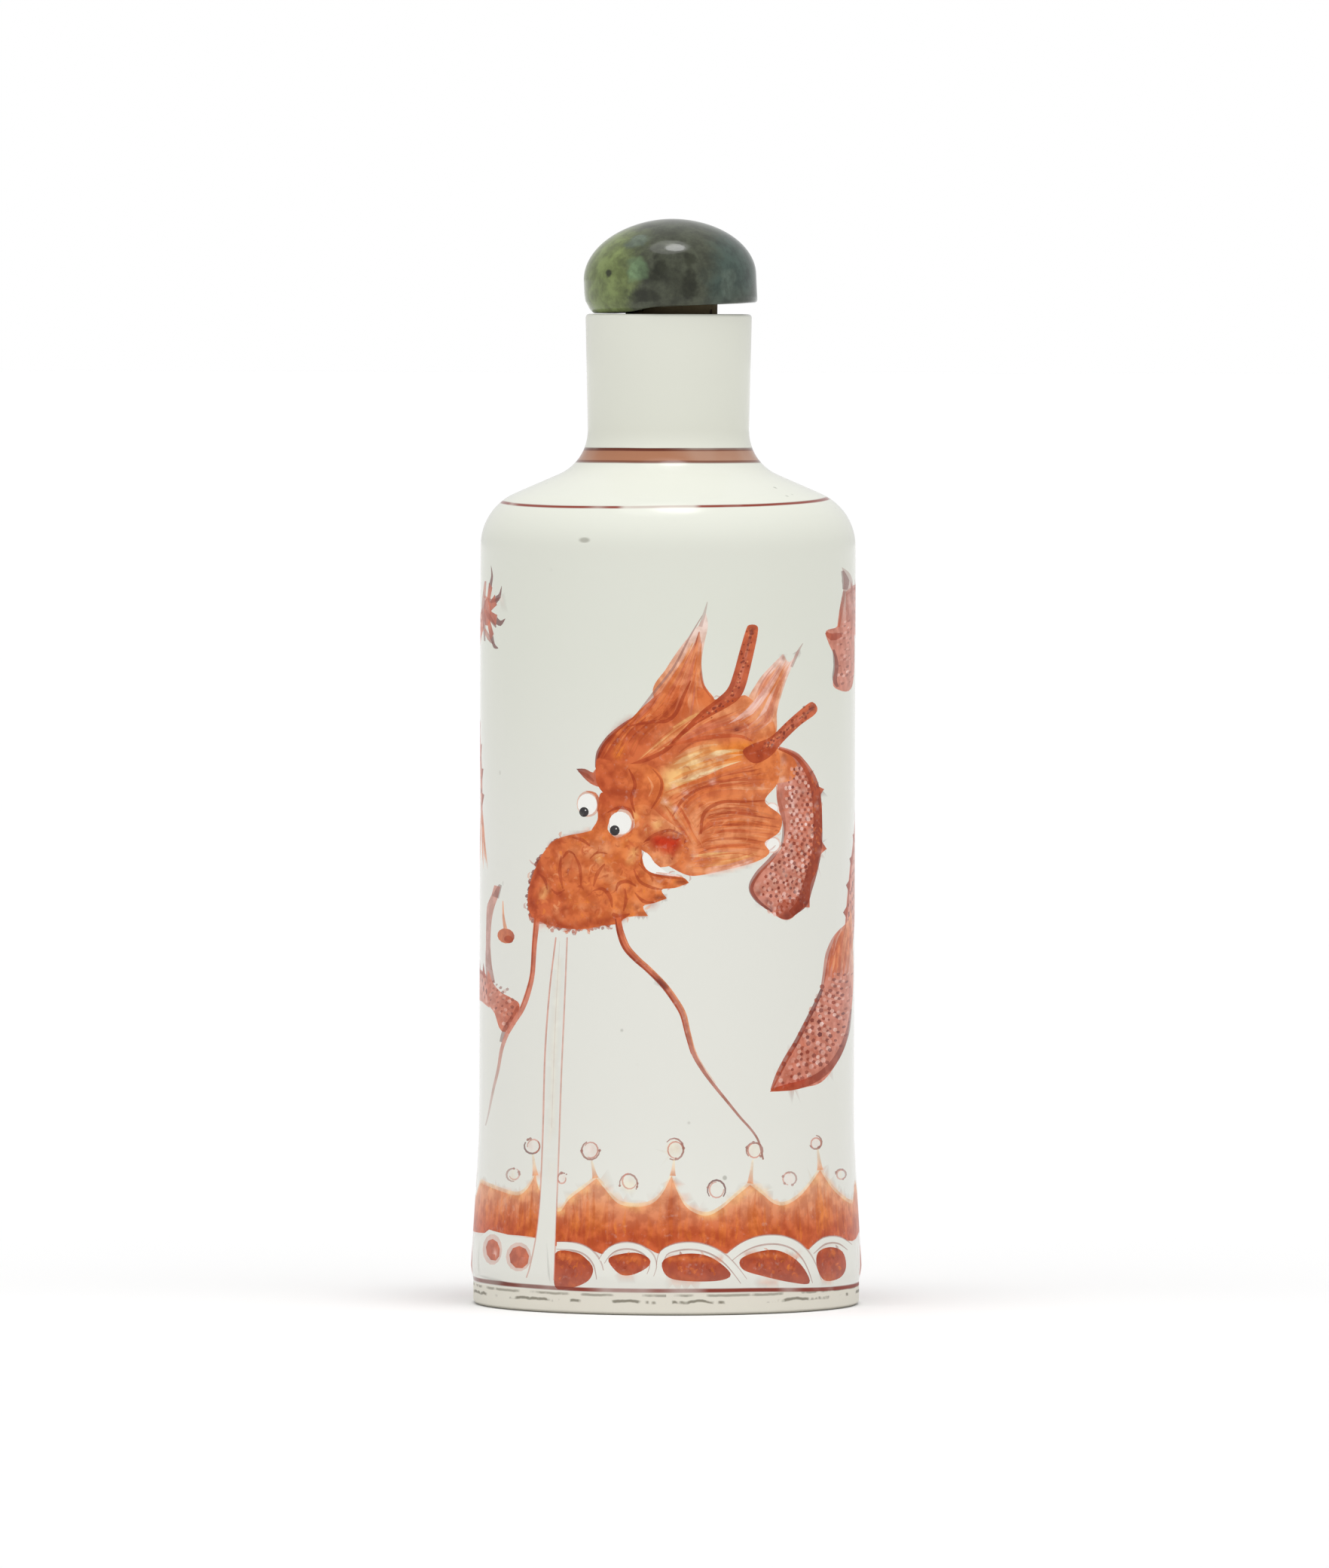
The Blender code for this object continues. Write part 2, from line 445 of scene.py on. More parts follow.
def off_line(places, line):
    """How far each place is from a line of straight runs."""
    start, run = line[:-1], np.diff(line, axis=0)
    square = np.maximum((run**2).sum(1), 1e-12)
    gap = places[:, None, :] - start
    share = np.clip((gap * run).sum(2) / square, 0, 1)
    return np.linalg.norm(gap - share[..., None] * run, axis=2).min(1)


class Mark:
    """One touch of the brush: where it goes, and what it leaves there."""

    def __init__(self, outline, low, high, paint, wipes=False):
        self.outline = outline
        self.low = low
        self.high = high
        self.paint = paint
        self.wipes = wipes


class Painter:
    """Lays marks on the wall in order, with each place given as `place` reads it."""

    def __init__(self, colours, marks, place, seed):
        self.colours = colours
        self.marks = marks
        self.place = place
        self.chance = np.random.default_rng(seed)

    def enamel(self, name):
        return np.array(getattr(self.colours, name), float)

    def blend(self, first, second, share):
        """Between two enamels."""
        return self.enamel(first) * (1 - share) + self.enamel(second) * share

    def paint(self, colour, cover, along):
        """What a mark leaves: one enamel and cover, or two that change from one place to another."""
        both = [self.enamel(c) if isinstance(c, str) else np.asarray(c, float) for c in colour]
        ends = self.place(along)
        run = ends[1] - ends[0]

        def at(places):
            share = ((places - ends[0]) @ run) / max(run @ run, 1e-9)
            share = np.clip(share, 0, 1)[..., None]
            tone = both[0] * (1 - share) + both[1] * share
            return tone, cover[0] * (1 - share[..., 0]) + cover[1] * share[..., 0]

        return at

    def lay(self, outline, colour, cover, along, wipes=False):
        """Fills an outline given on the wall."""
        colour = colour if isinstance(colour, tuple) else (colour, colour)
        cover = cover if isinstance(cover, tuple) else (cover, cover)
        paint = self.paint(colour, cover, along)
        self.marks.append(Mark(outline, outline.min(0), outline.max(0), paint, wipes))

    def area(self, points, colour, cover=1.0, along=None, sharp=False, wipes=False):
        """Fills a closed outline. Two colours change over it from the first place in `along`."""
        outline = np.asarray(points, float) if sharp else curve(points, closed=True)
        along = along or (points[0], points[len(points) // 2])
        self.lay(self.place(outline), colour, cover, along, wipes)

    def stroke(self, points, widths, colour, cover=1.0, wipes=False, step=0.3):
        """A brush stroke along a line, with its widths from one end to the other."""
        line = curve(points, step=step)
        outline = self.place(widened(line, widths))
        self.lay(outline, colour, cover, (line[0], line[-1]), wipes)

    def glow(self, points, reach, colour, cover=1.0):
        """A soft touch that fades out to the sides of a line, or round one place."""
        line = curve(points) if len(points) > 1 else np.asarray(list(points) * 2, float)
        line = self.place(resampled(line, max(2, len(line) // 2)))
        tone = self.enamel(colour)

        def at(places):
            flat = places.reshape(-1, 2)
            near = np.clip(1 - off_line(flat, line) / reach, 0, 1)
            near = near * near * (3 - 2 * near) * cover
            shape = places.shape[:-1]
            return np.broadcast_to(tone, (*shape, 3)), near.reshape(shape)

        self.marks.append(Mark(None, line.min(0) - reach, line.max(0) + reach, at))

    def hair(self, first, last, count, colours, cover=0.7, widths=(0.14, 0.3), lengths=(0.3, 0.8)):
        """Fine strokes that run between two guide lines."""
        a, b = (resampled(curve(line), 40) for line in (first, last))
        chance = self.chance
        for _ in range(count):
            side = chance.random()
            drift = chance.normal(0, 0.05)
            run = chance.uniform(*lengths)
            start = chance.uniform(0, 1 - run)
            steps = np.linspace(0, 1, 40)
            share = np.clip(side + drift * np.sin(3 * steps + 6 * side), 0, 1)[:, None]
            line = (a * (1 - share) + b * share)[int(start * 39) : int((start + run) * 39) + 1]
            if len(line) < 4:
                continue
            width = chance.uniform(*widths)
            tone = self.blend(*chance.choice(colours, 2), chance.random())
            count_of_points = max(4, len(line) // 5)
            line = resampled(line, count_of_points)
            outline = self.place(widened(line, (0.02, width, width * 0.8, 0.02)))
            strength = cover * chance.uniform(0.6, 1.0)
            self.lay(outline, tone, strength, (line[0], line[-1]))

    def tufts(self, points, size, lean, colours, cover=1.0, gap=0.5):
        """Short pointed tufts of hair on the left of a line, which lean along it."""
        line = curve(points)
        spots = resampled(line, max(2, round(run_lengths(line).sum() / gap)))
        out = sideways(spots)
        ahead = np.stack([out[:, 1], -out[:, 0]], 1)
        chance = self.chance
        for spot, away, on in zip(spots, out, ahead):
            reach = size * chance.uniform(0.6, 1.35)
            half = gap * chance.uniform(0.45, 0.8)
            tip = spot + away * reach + on * lean * reach
            bend = spot + away * reach * 0.5 + on * (lean * reach * 0.2 + half * 0.3)
            root = spot - away * size * 0.5
            outline = [root - on * half, spot - on * half * 0.7, tip, bend, root + on * half]
            tone = self.blend(*chance.choice(colours, 2), chance.random())
            self.lay(self.place(outline), tone, cover, (root, tip))

    def within(self, outline, count):
        """That many places at random inside an outline."""
        shape = curve(outline, closed=True)
        spots = self.chance.uniform(shape.min(0), shape.max(0), (count * 5, 2))
        return spots[inside(spots, shape)][:count]

    def curls(self, outline, count, size, colours, cover=0.7, width=0.2, heading=None):
        """Short curved strokes inside an outline."""
        chance = self.chance
        for spot in self.within(outline, count):
            turn = chance.uniform(0, 2 * math.pi) if heading is None else math.radians(heading)
            turn += chance.normal(0, 0.35)
            bend = chance.choice((-1, 1)) * chance.uniform(0.2, 1.3)
            angles = turn + bend * np.linspace(-1, 1, 4)
            reach = size * chance.uniform(0.6, 1.4) / 4
            line = spot + np.cumsum(reach * np.stack([np.cos(angles), np.sin(angles)], 1), 0)
            wide = width * chance.uniform(0.6, 1.3)
            tone = self.blend(*chance.choice(colours, 2), chance.random())
            strength = cover * chance.uniform(0.6, 1.0)
            outline_of_one = self.place(widened(line, (0.03, wide, wide * 0.8, 0.03)))
            self.lay(outline_of_one, tone, strength, (line[0], line[-1]))

    def clouds(self, outline, count, reach, colours, cover=0.5):
        """Soft spots inside an outline."""
        for spot in self.within(outline, count):
            self.glow([spot], reach * self.chance.uniform(0.6, 1.3), self.chance.choice(colours), cover)

    def ring(self, centre, radius, width, colour, cover=1.0, start=0.0, turn=360.0, tall=1.0):
        """A thin ring or part of one, drawn from an angle in degrees."""
        angles = np.radians(start + np.linspace(0, turn, max(6, round(turn / 24))))
        middle = np.asarray(centre, float)
        line = middle + radius * np.stack([np.cos(angles), tall * np.sin(angles)], 1)
        widths = (width * 0.6, width, width * 0.9, width * 0.5)
        self.lay(self.place(widened(line, widths)), colour, cover, (line[0], line[-1]))

    def dot(self, centre, radius, colour, cover=1.0, tall=1.0, lean=0.0, corners=8):
        """A small filled oval."""
        angles = np.linspace(0, 2 * math.pi, corners, endpoint=False)
        oval = radius * np.stack([np.cos(angles), tall * np.sin(angles)], 1)
        cos, sin = math.cos(math.radians(lean)), math.sin(math.radians(lean))
        oval = oval @ np.array([[cos, sin], [-sin, cos]]) + np.asarray(centre, float)
        self.lay(self.place(oval), colour, cover, (oval[0], oval[corners // 2]))


# The spacing of the scales on the body round the back, in mm
BODY_SCALE = 1.08


def scaled_body(painter, spine, widths):
    """A length of the dragon's body: its ground, rows of scales and a dark back, whose line it returns."""
    line = curve(spine, step=0.35)
    painter.lay(painter.place(widened(line, widths)), "rose", 0.92, (line[0], line[-1]))
    rows = max(2, round(run_lengths(line).sum() / BODY_SCALE))
    fine = resampled(line, rows * 4 + 1)
    left = sideways(fine)
    half = spread(widths, len(fine)) / 2
    chance = painter.chance
    for row in range(1, rows * 2):
        spot, away, reach = fine[row * 2], left[row * 2], half[row * 2]
        ahead = np.array([away[1], -away[0]])
        across = int(2 * reach * 0.86 / BODY_SCALE)
        lean = math.degrees(math.atan2(ahead[1], ahead[0]))
        for column in range(across + 1):
            shift = (column - across / 2 + (0.5 if row % 2 else 0.0)) * BODY_SCALE - 0.08 * reach
            if abs(shift) > reach - 0.28 * BODY_SCALE or row % 2 and column == across:
                continue
            centre = spot + away * shift + chance.normal(0, 0.025, 2)
            pale = painter.blend("blush", "rose", 0.15 + 0.65 * chance.random())
            painter.dot(centre, BODY_SCALE * 0.45, (pale, painter.enamel("rose")), 0.9, 0.7, lean, 6)
            speck = centre - ahead * BODY_SCALE * 0.5
            painter.dot(speck, BODY_SCALE * chance.uniform(0.12, 0.28), "plum", 0.8, 1.0, lean, 4)
    edge = line + sideways(line) * spread(widths, len(line))[:, None] * 0.42
    thick = 0.16 * max(widths)
    outline = painter.place(widened(edge, (0.1, thick, thick, 0.1)))
    painter.lay(outline, "brick", 0.95, (edge[0], edge[-1]))
    return edge


def fins(painter, edge, size, gap):
    """Pointed fins on the left of the back's line."""
    spots = resampled(edge, max(3, round(run_lengths(edge).sum() / gap)))
    for spot, away in zip(spots[1:-1], sideways(spots)[1:-1]):
        ahead = np.array([away[1], -away[0]])
        tip = spot + away * size - ahead * size * 0.35
        base = size * 0.62
        outline = [spot - ahead * base, tip, spot + ahead * base, spot - away * size * 0.3]
        painter.area(outline, ("brick", "rust"), 0.95, (spot, tip), sharp=True)


# The outlines of the head's parts, in mm to the right of the axis and mm up, as seen from the front

FLAME_1 = [(-1.2, 48.87), (-0.1, 50.89), (0.91, 52.42), (2.02, 53.83), (2.57, 54.48), (3.03, 55.3),
    (3.03, 55.3), (3.2, 54.29), (2.94, 53.01), (2.72, 51.72), (2.7, 50.62), (2.95, 49.42), (3.72, 48.32),
    (2.84, 46.85), (0.64, 46.39)]
WEDGE_1 = [(0.55, 46.76), (0.86, 48.05), (1.52, 49.52), (1.78, 51.17), (2.2, 52.82), (2.53, 53.83),
    (2.53, 53.83), (2.65, 52.64), (2.52, 51.17), (2.76, 49.88), (3.3, 48.97), (3.72, 48.19), (2.66, 46.95),
    (1.56, 46.39)]
FLAME_2 = [(6.15, 47.68), (7.21, 49.85), (8.26, 51.08), (9.22, 52.03), (9.22, 52.03), (9.73, 51.39),
    (10.52, 52.45), (10.52, 52.45), (9.82, 50.8), (9.27, 49.33), (8.76, 47.5), (8.54, 45.48),
    (6.52, 45.29)]
MANE = [(-5.7, 42.72), (-5.61, 43.82), (-5.05, 44.96), (-4.14, 45.84), (-3.22, 46.49), (-2.67, 47.09),
    (-1.57, 48.14), (-0.28, 49.11), (1.01, 49.52), (2.66, 49.33), (3.67, 48.41), (5.41, 48.5),
    (6.15, 48.73), (6.9, 48.2), (8.34, 46.85), (8.57, 45.48), (7.62, 44.56), (8.81, 44.28), (8.99, 43.09),
    (8.76, 41.62), (7.8, 40.24), (9.09, 39.05), (8.94, 37.76), (7.8, 36.94), (8.17, 36.11), (7.07, 35.38),
    (4.68, 34.73), (2.84, 34.33), (1.74, 34.27), (0.64, 34.73), (-0.46, 35.47), (-1.93, 37.03),
    (-2.67, 38.86), (-3.77, 39.97), (-5.24, 41.07)]
BROW = [(-5.75, 42.35), (-5.64, 43.6), (-4.87, 43.5), (-3.4, 43.2), (-1.93, 43.2), (-0.83, 42.72),
    (-0.28, 41.62), (-0.43, 40.61), (-0.92, 39.69), (-1.71, 39.14), (-2.48, 38.86), (-3.1, 39.7),
    (-4.14, 40.15), (-5.05, 40.79), (-5.61, 41.53)]
CHEEK = [(-2.76, 39.69), (-1.57, 39.87), (-0.28, 38.86), (1.1, 37.76), (1.3, 36.4), (0.6, 35.2), (-1, 35),
    (-1.75, 36.11), (-3.03, 36.75), (-3.86, 37.21), (-2.67, 38.13)]
MUZZLE = [(-5.61, 37.95), (-6.8, 37.67), (-8.18, 37.4), (-9.19, 36.94), (-10.01, 35.93), (-10.56, 34.82),
    (-10.95, 33.72), (-11.16, 32.62), (-11.11, 31.52), (-10.74, 30.88), (-10.1, 30.48), (-9.1, 30.19),
    (-7.81, 29.97), (-6.52, 29.97), (-5.24, 30.22), (-3.95, 30.41), (-3.22, 30.93), (-1.53, 31.02),
    (-1.53, 31.02), (-1.93, 31.79), (-1.01, 32.07), (-0.02, 32.44), (-0.02, 32.44), (-0.46, 33.13),
    (0.64, 33.28), (1.74, 33.69), (1.74, 33.69), (1.19, 34.16), (-0.1, 34.24), (-1.2, 34.55),
    (-1.93, 35.38), (-2.12, 36.48), (-2.67, 36.84), (-4.14, 37.12), (-5.05, 37.76)]
HORN_1 = [(6.5, 54.35), (6.24, 53.96), (5.74, 52.27), (5.27, 50.53), (4.77, 49.24), (3.8, 48.32),
    (2.75, 47.5), (1.74, 46.49), (0.27, 44.93), (0.36, 44.81), (2.02, 46.21), (3.21, 46.91), (4.5, 47.61),
    (5.6, 48.34), (6.18, 49.33), (6.66, 51.17), (7.18, 53.65), (7.1, 54.3)]
HORN_2 = [(11.57, 48.2), (11.01, 47.9), (9.64, 46.72), (8.35, 45.48), (7.53, 45.07), (6.72, 44.79),
    (6, 44.2), (6.88, 43.28), (8.17, 43.79), (9.27, 45.04), (10.59, 46.32), (11.79, 47.22), (11.95, 47.8)]


def horns(painter):
    """The two horns: mottled dark red, paler along the middle, with dark tips."""
    for outline, spine in (
        (HORN_1, [(2.2, 46.5), (3.6, 47.6), (5.1, 48.7), (5.7, 50), (6.2, 51.8), (6.7, 53.9)]),
        (HORN_2, [(6.8, 44), (8, 44.7), (9.3, 45.8), (10.6, 46.9), (11.6, 47.7)]),
    ):
        painter.area(outline, ("brick", "red"), 0.97, (spine[0], spine[-1]))
        painter.stroke(spine, (0.1, 0.4, 0.4, 0.3, 0.1), ("red", "rose"), 0.75)
        line = resampled(curve(spine), 46)
        for spot in line[4:]:
            spot = spot + painter.chance.normal(0, 0.2, 2)
            tone = painter.blend("plum", "rust", painter.chance.random())
            painter.dot(spot, painter.chance.uniform(0.07, 0.14), tone, 0.7, 0.8, 40, 6)
        for spot in line[6::3]:
            painter.dot(spot + painter.chance.normal(0, 0.1, 2), 0.1, "peach", 0.55, 0.8, 40, 6)
        painter.glow([spine[-1]], 0.4, "plum", 0.75)
        painter.stroke([spine[-2], spine[-1]], (0.1, 0.3), "plum", 0.35)
    painter.glow([(6.4, 43.9), (7.6, 44.4)], 0.8, "brick", 0.75)


def mane(painter):
    """The mane's locks, from the crown to the nape, with the flames that stream from it."""
    area, glow, hair, stroke = painter.area, painter.glow, painter.hair, painter.stroke
    area(FLAME_2, ("peach", "blush"), (0.97, 0.7), ((7, 46.5), (10, 52.4)))
    hair([(6.4, 46), (7.5, 49.4), (9.2, 51.8)], [(8.3, 46.4), (8.9, 48.9), (10.3, 52)], 26,
        ("orange", "peach", "rose"), 0.65, (0.12, 0.35))
    glow([(8.1, 46.8), (8.9, 49.6)], 0.55, "amber", 0.6)
    hair([(6.6, 47.6), (7.5, 49.8), (9.1, 51.8)], [(7, 47.4), (7.9, 49.8), (9.3, 51.8)], 5,
        ("mauve", "rose"), 0.5, (0.1, 0.2))
    for tip in ((9.2, 51.75), (10.35, 52.15)):
        glow([tip], 0.42, "mauve", 0.75)
    stroke([(9.9, 51), (10.4, 52.2), (10.8, 52.9)], (0.2, 0.25, 0.04), "mauve", 0.55)

    area(FLAME_1, ("peach", "blush"), (0.97, 0.6), ((0.9, 49.5), (2.9, 55)))
    area(WEDGE_1, ("red", "orange"), (0.95, 0.6), ((2.2, 47), (2.5, 53.6)))
    hair([(0.3, 46.8), (0.7, 49.6), (1.9, 53.4)], [(3.3, 47.4), (2.6, 50), (2.8, 54)], 20,
        ("orange", "peach", "rose", "peach"), 0.55, (0.12, 0.34))
    stroke([(1, 48.4), (1.65, 50.4), (2.15, 52.6), (2.5, 53.8)], (0.1, 0.25, 0.06), "brick", 0.75)
    stroke([(3.5, 48.3), (2.85, 49.5), (2.6, 51.2), (2.7, 53)], (0.2, 0.2, 0.05), "brick", 0.6)
    stroke([(-0.3, 48.6), (1, 50.8), (2, 52.9)], (0.15, 0.35, 0.08), "amber", 0.55)
    stroke([(-2.67, 46.95), (-1.2, 48.8), (0.5, 51), (1.7, 53.3), (2.75, 55.1)],
        (0.08, 0.22, 0.2, 0.16, 0.05), "mauve", 0.75)
    stroke([(2.6, 54.2), (2.95, 55.4), (3.15, 56.2)], (0.3, 0.25, 0.04), "mauve", 0.45)

    area(MANE, ("red", "orange"), (1, 0.97), ((-4.6, 43.6), (5.4, 41)))
    glow([(4.4, 47), (7, 47.6), (7.6, 46.4)], 1.7, "peach", 0.75)
    glow([(5.2, 46.2), (6.6, 45.8)], 1, "rose", 0.5)
    glow([(-0.4, 45.2), (1.4, 46.2), (2.4, 47.2)], 1, "peach", 0.6)
    for line, reach, tone, cover in (
        ([(0.4, 42.2), (2, 43.2), (3.6, 44)], 1.5, "amber", 0.9),
        ([(0.2, 41.4), (1.4, 42), (2.6, 42.9)], 1.1, "amber", 0.75),
        ([(3, 43.7), (5, 44.3), (6.6, 44.5)], 1.1, "glow", 0.95),
        ([(-0.6, 40.6), (0.2, 39.6), (0.9, 38.8)], 0.7, "amber", 0.5),
    ):
        glow(line, reach, tone, cover)
    glow([(1, 42), (2.2, 43.4)], 1.1, "amber", 0.85)
    glow([(4.6, 43.8), (6.2, 44.2)], 0.9, "glow", 0.8)
    glow([(-4.9, 43.9), (-3.9, 45.6), (-2.9, 46.4)], 0.9, "brick", 0.8)
    glow([(-2.4, 45.8), (-1.4, 45.9)], 0.8, "rust", 0.35)
    glow([(-4, 43.9), (-3.7, 44.8)], 0.6, "glow", 0.75)
    glow([(3, 41), (6.8, 41.8)], 1, "red", 0.5)
    glow([(1.5, 40.2), (2.2, 38.4), (1.9, 36.4)], 0.9, "peach", 0.6)
    glow([(1.8, 34.9), (4.6, 35.1), (7.4, 36.1)], 0.8, "peach", 0.7)
    glow([(3.4, 34.6), (6.6, 35.4)], 0.45, "blush", 0.6)

    warm = ("brick", "red", "orange")
    hair([(-5.3, 43.6), (-4.2, 45.4), (-2.6, 47), (-0.6, 48.8), (1.2, 51.4)], [(-3, 43.3), (-1.9, 45.5),
        (-0.2, 46.8), (1.4, 48.6), (2.4, 51)], 44, warm, 0.75)
    hair([(-2.6, 43.4), (-0.8, 45), (1.2, 46.6), (3, 47.8)], [(-1.2, 43.8), (0.6, 45), (2.6, 46.1),
        (4.6, 47.4)], 22, ("peach", "orange", "red", "amber"), 0.75)
    hair([(0.4, 44.8), (2.6, 46.2), (4.8, 47.2), (6.8, 48.2)], [(1.2, 44.6), (3.8, 45.4), (6.4, 45.6),
        (8.2, 46.6)], 34, ("orange", "peach", "red", "rose"), 0.6)
    hair([(0.4, 43.6), (2.4, 44.6), (4.6, 44.9), (6.8, 44.7)], [(0, 41.4), (1.6, 41.8), (3.4, 42.6),
        (6.6, 43.6)], 22, ("amber", "glow", "peach", "straw"), 0.6, (0.2, 0.45))
    hair([(-0.6, 40.8), (1.4, 41.5), (3.4, 42.3), (6.4, 43.2), (8.6, 43.9)], [(1, 38.8), (2.2, 40.4),
        (3.8, 41.1), (6.2, 41.2), (8.8, 41.2)], 54, ("red", "orange", "brick", "peach"), 0.75,
        (0.14, 0.36))
    hair([(1.2, 38.6), (2.6, 40.2), (4.4, 40.7), (6.6, 40.5), (8, 40.4)], [(1.6, 37.6), (3, 39),
        (4.8, 39.4), (7, 39.3), (8.9, 38.9)], 26, ("peach", "orange", "red"), 0.7)
    hair([(2.2, 38), (3.2, 39.3), (4.8, 39.7), (6.8, 39.5), (8.9, 39)], [(2.2, 35.9), (3.6, 36.4),
        (5.2, 36.6), (6.8, 36.7), (8, 36.9)], 60, ("red", "brick", "orange", "peach"), 0.7, (0.2, 0.42),
        (0.35, 0.8))
    hair([(-0.8, 40.2), (0.2, 38.8), (1.4, 37.4), (2.4, 35.8)], [(0.8, 40.4), (1.6, 39.2), (2.4, 37.6),
        (3.2, 36)], 24, ("red", "orange", "peach"), 0.65, (0.16, 0.34))
    hair([(1.8, 36), (3.6, 36.2), (5.6, 36.3), (7.6, 36.7)], [(1.4, 34.5), (3, 34.6), (5, 35),
        (7.2, 35.7)], 30, ("peach", "rose", "orange", "amber"), 0.7, (0.14, 0.32))

    hair([(-3.4, 45.6), (-1.6, 48), (0.2, 50.4), (2, 53.4)], [(2.7, 46.9), (2.5, 48.6), (2.5, 50.6),
        (2.7, 53)], 40, ("peach", "orange", "rose", "red"), 0.7, (0.14, 0.4), (0.4, 0.8))
    hair([(4.6, 46.4), (6.4, 47.6), (8, 49.6), (9.4, 51.8)], [(6.4, 45.4), (8.3, 46.6), (8.9, 48.9),
        (10.1, 51.4)], 34, ("peach", "rose", "orange", "blush"), 0.65, (0.14, 0.4), (0.4, 0.8))
    fold = ("brick", 0.85)
    stroke([(-5.75, 42.9), (-5.5, 44.1), (-4.7, 45.3), (-3.6, 46.3), (-2.6, 47)],
        (0.1, 0.4, 0.4, 0.25, 0.08), ("rust", "brick"), 0.85)
    stroke([(-3.4, 43), (-1.57, 43.6), (-0.1, 44.37), (1.01, 45.48), (2.3, 46.5)],
        (0.08, 0.35, 0.35, 0.3, 0.15), *fold)
    stroke([(-3.22, 46.21), (-1.2, 46.58), (-0.1, 46.65), (0.68, 47.31), (1.23, 48.6), (1.83, 49.88)],
        (0.1, 0.28, 0.3, 0.32, 0.1), *fold)
    stroke([(-0.28, 44.56), (2.66, 45.26), (5.41, 45.48), (6.79, 45.07)], (0.08, 0.3, 0.35, 0.15), "red",
        0.9)
    stroke([(0.9, 44.1), (2.2, 45), (3.6, 45.2)], (0.06, 0.2, 0.08), "brick", 0.5)
    stroke([(-0.2, 40.9), (1.3, 41.5), (2.8, 41.9), (4.4, 42.6), (6.2, 43.2)],
        (0.06, 0.2, 0.25, 0.2, 0.08), "orange", 0.9)
    stroke([(0.4, 39), (1.2, 40.3), (2.5, 41.2), (4.1, 41.6)], (0.08, 0.28, 0.25, 0.06), "brick", 0.75)
    stroke([(2.66, 37.6), (2.95, 39.3), (4.3, 40.15), (6.2, 40.2), (7.8, 40.3)],
        (0.2, 0.3, 0.3, 0.2, 0.06), "brick", 0.75)
    for y, left, right, thick, tone in (
        (39, 3.2, 8.8, 0.2, "brick"), (38.35, 3.4, 9, 0.26, "brick"), (37.75, 3, 8.7, 0.2, "red"),
        (37.15, 3, 7.9, 0.24, "brick"), (36.55, 2.8, 7.9, 0.24, "red"), (35.95, 3.2, 7.6, 0.14, "red"),
    ):
        middle = (left + right) / 2
        stroke([(left, y - 0.15), (middle, y + 0.12), (right, y - 0.2)], (0.05, thick, 0.05), tone, 0.5)
        stroke([(left + 0.3, y - 0.42), (middle, y - 0.18), (right - 0.6, y - 0.42)], (0.05, 0.26, 0.05),
            "peach", 0.45)
    for spot in ((3.6, 41.8), (0.5, 41.4), (1.4, 41), (-0.2, 40.2), (0.6, 39.6)):
        glow([spot], 0.4, "blush", 0.5)
    stroke([(0.4, 46.1), (1.8, 46.9), (3.2, 47.5)], (0.08, 0.28, 0.08), "amber", 0.65)
    painter.curls(MANE, 90, 1, ("red", "peach", "orange", "brick"), 0.45, 0.16, 20)
    glow([(5.5, 45.95)], 0.5, "rust", 0.95)
    glow([(5.55, 46)], 0.3, "plum", 0.7)


def brow(painter):
    """The brow between mane and eyes, with the tuft in front of it."""
    area, stroke = painter.area, painter.stroke
    area([(-7.3, 42.8), (-7.3, 42.8), (-6.62, 42.8), (-5.94, 42.5), (-5.57, 42.94), (-5.15, 41.44),
        (-5.94, 41.5), (-6.62, 42)], ("plum", "red"), 0.92, ((-7.3, 42.6), (-5.6, 42.2)))
    stroke([(-7.15, 42.6), (-6.5, 42.3), (-5.9, 41.8)], (0.1, 0.3, 0.15), "rust", 0.5)
    area(BROW, ("red", "orange"), 1, ((-4.8, 41), (-0.6, 41.9)))
    area([(-5.57, 39.6), (-5.3, 40.9), (-4.14, 40.4), (-3.6, 39.9), (-4.47, 38.86), (-4.78, 37.95),
        (-4.14, 37.12), (-5.61, 37.12), (-6.12, 37.73), (-5.61, 38.68)], ("red", "orange"), 1, ((-5, 40.2),
        (-5.2, 37.6)))
    area(CHEEK, ("orange", "peach"), 1, ((-2.6, 38.4), (0.6, 38.2)))
    painter.clouds(BROW, 26, 0.6, ("brick", "orange", "red", "brick"), 0.45)
    painter.clouds(CHEEK, 20, 0.5, ("red", "amber", "brick", "orange"), 0.55)
    painter.curls(BROW, 44, 0.8, ("brick", "orange", "red"), 0.4, 0.2)
    painter.curls(CHEEK, 36, 0.7, ("brick", "peach", "red", "amber"), 0.45, 0.18)
    painter.glow([(-1.6, 42.4), (-0.9, 41.4)], 0.6, "orange", 0.6)
    painter.glow([(-4.4, 40.9), (-3.2, 40.6)], 0.7, "brick", 0.7)
    stroke([(-3.1, 42.8), (-2.6, 41.6), (-2.9, 40.4), (-2.6, 39.3)], (0.08, 0.28, 0.28, 0.1), "brick",
        0.85)
    stroke([(-1.2, 42.8), (-0.5, 41.9), (-0.6, 40.8), (-1.3, 39.6)], (0.06, 0.22, 0.25, 0.08), "brick",
        0.7)
    stroke([(-1.6, 42.2), (-1.2, 41.4), (-1.5, 40.6)], (0.06, 0.2, 0.06), "peach", 0.7)
    painter.glow([(-5.3, 39.4), (-5, 38.2)], 0.35, "brick", 0.8)


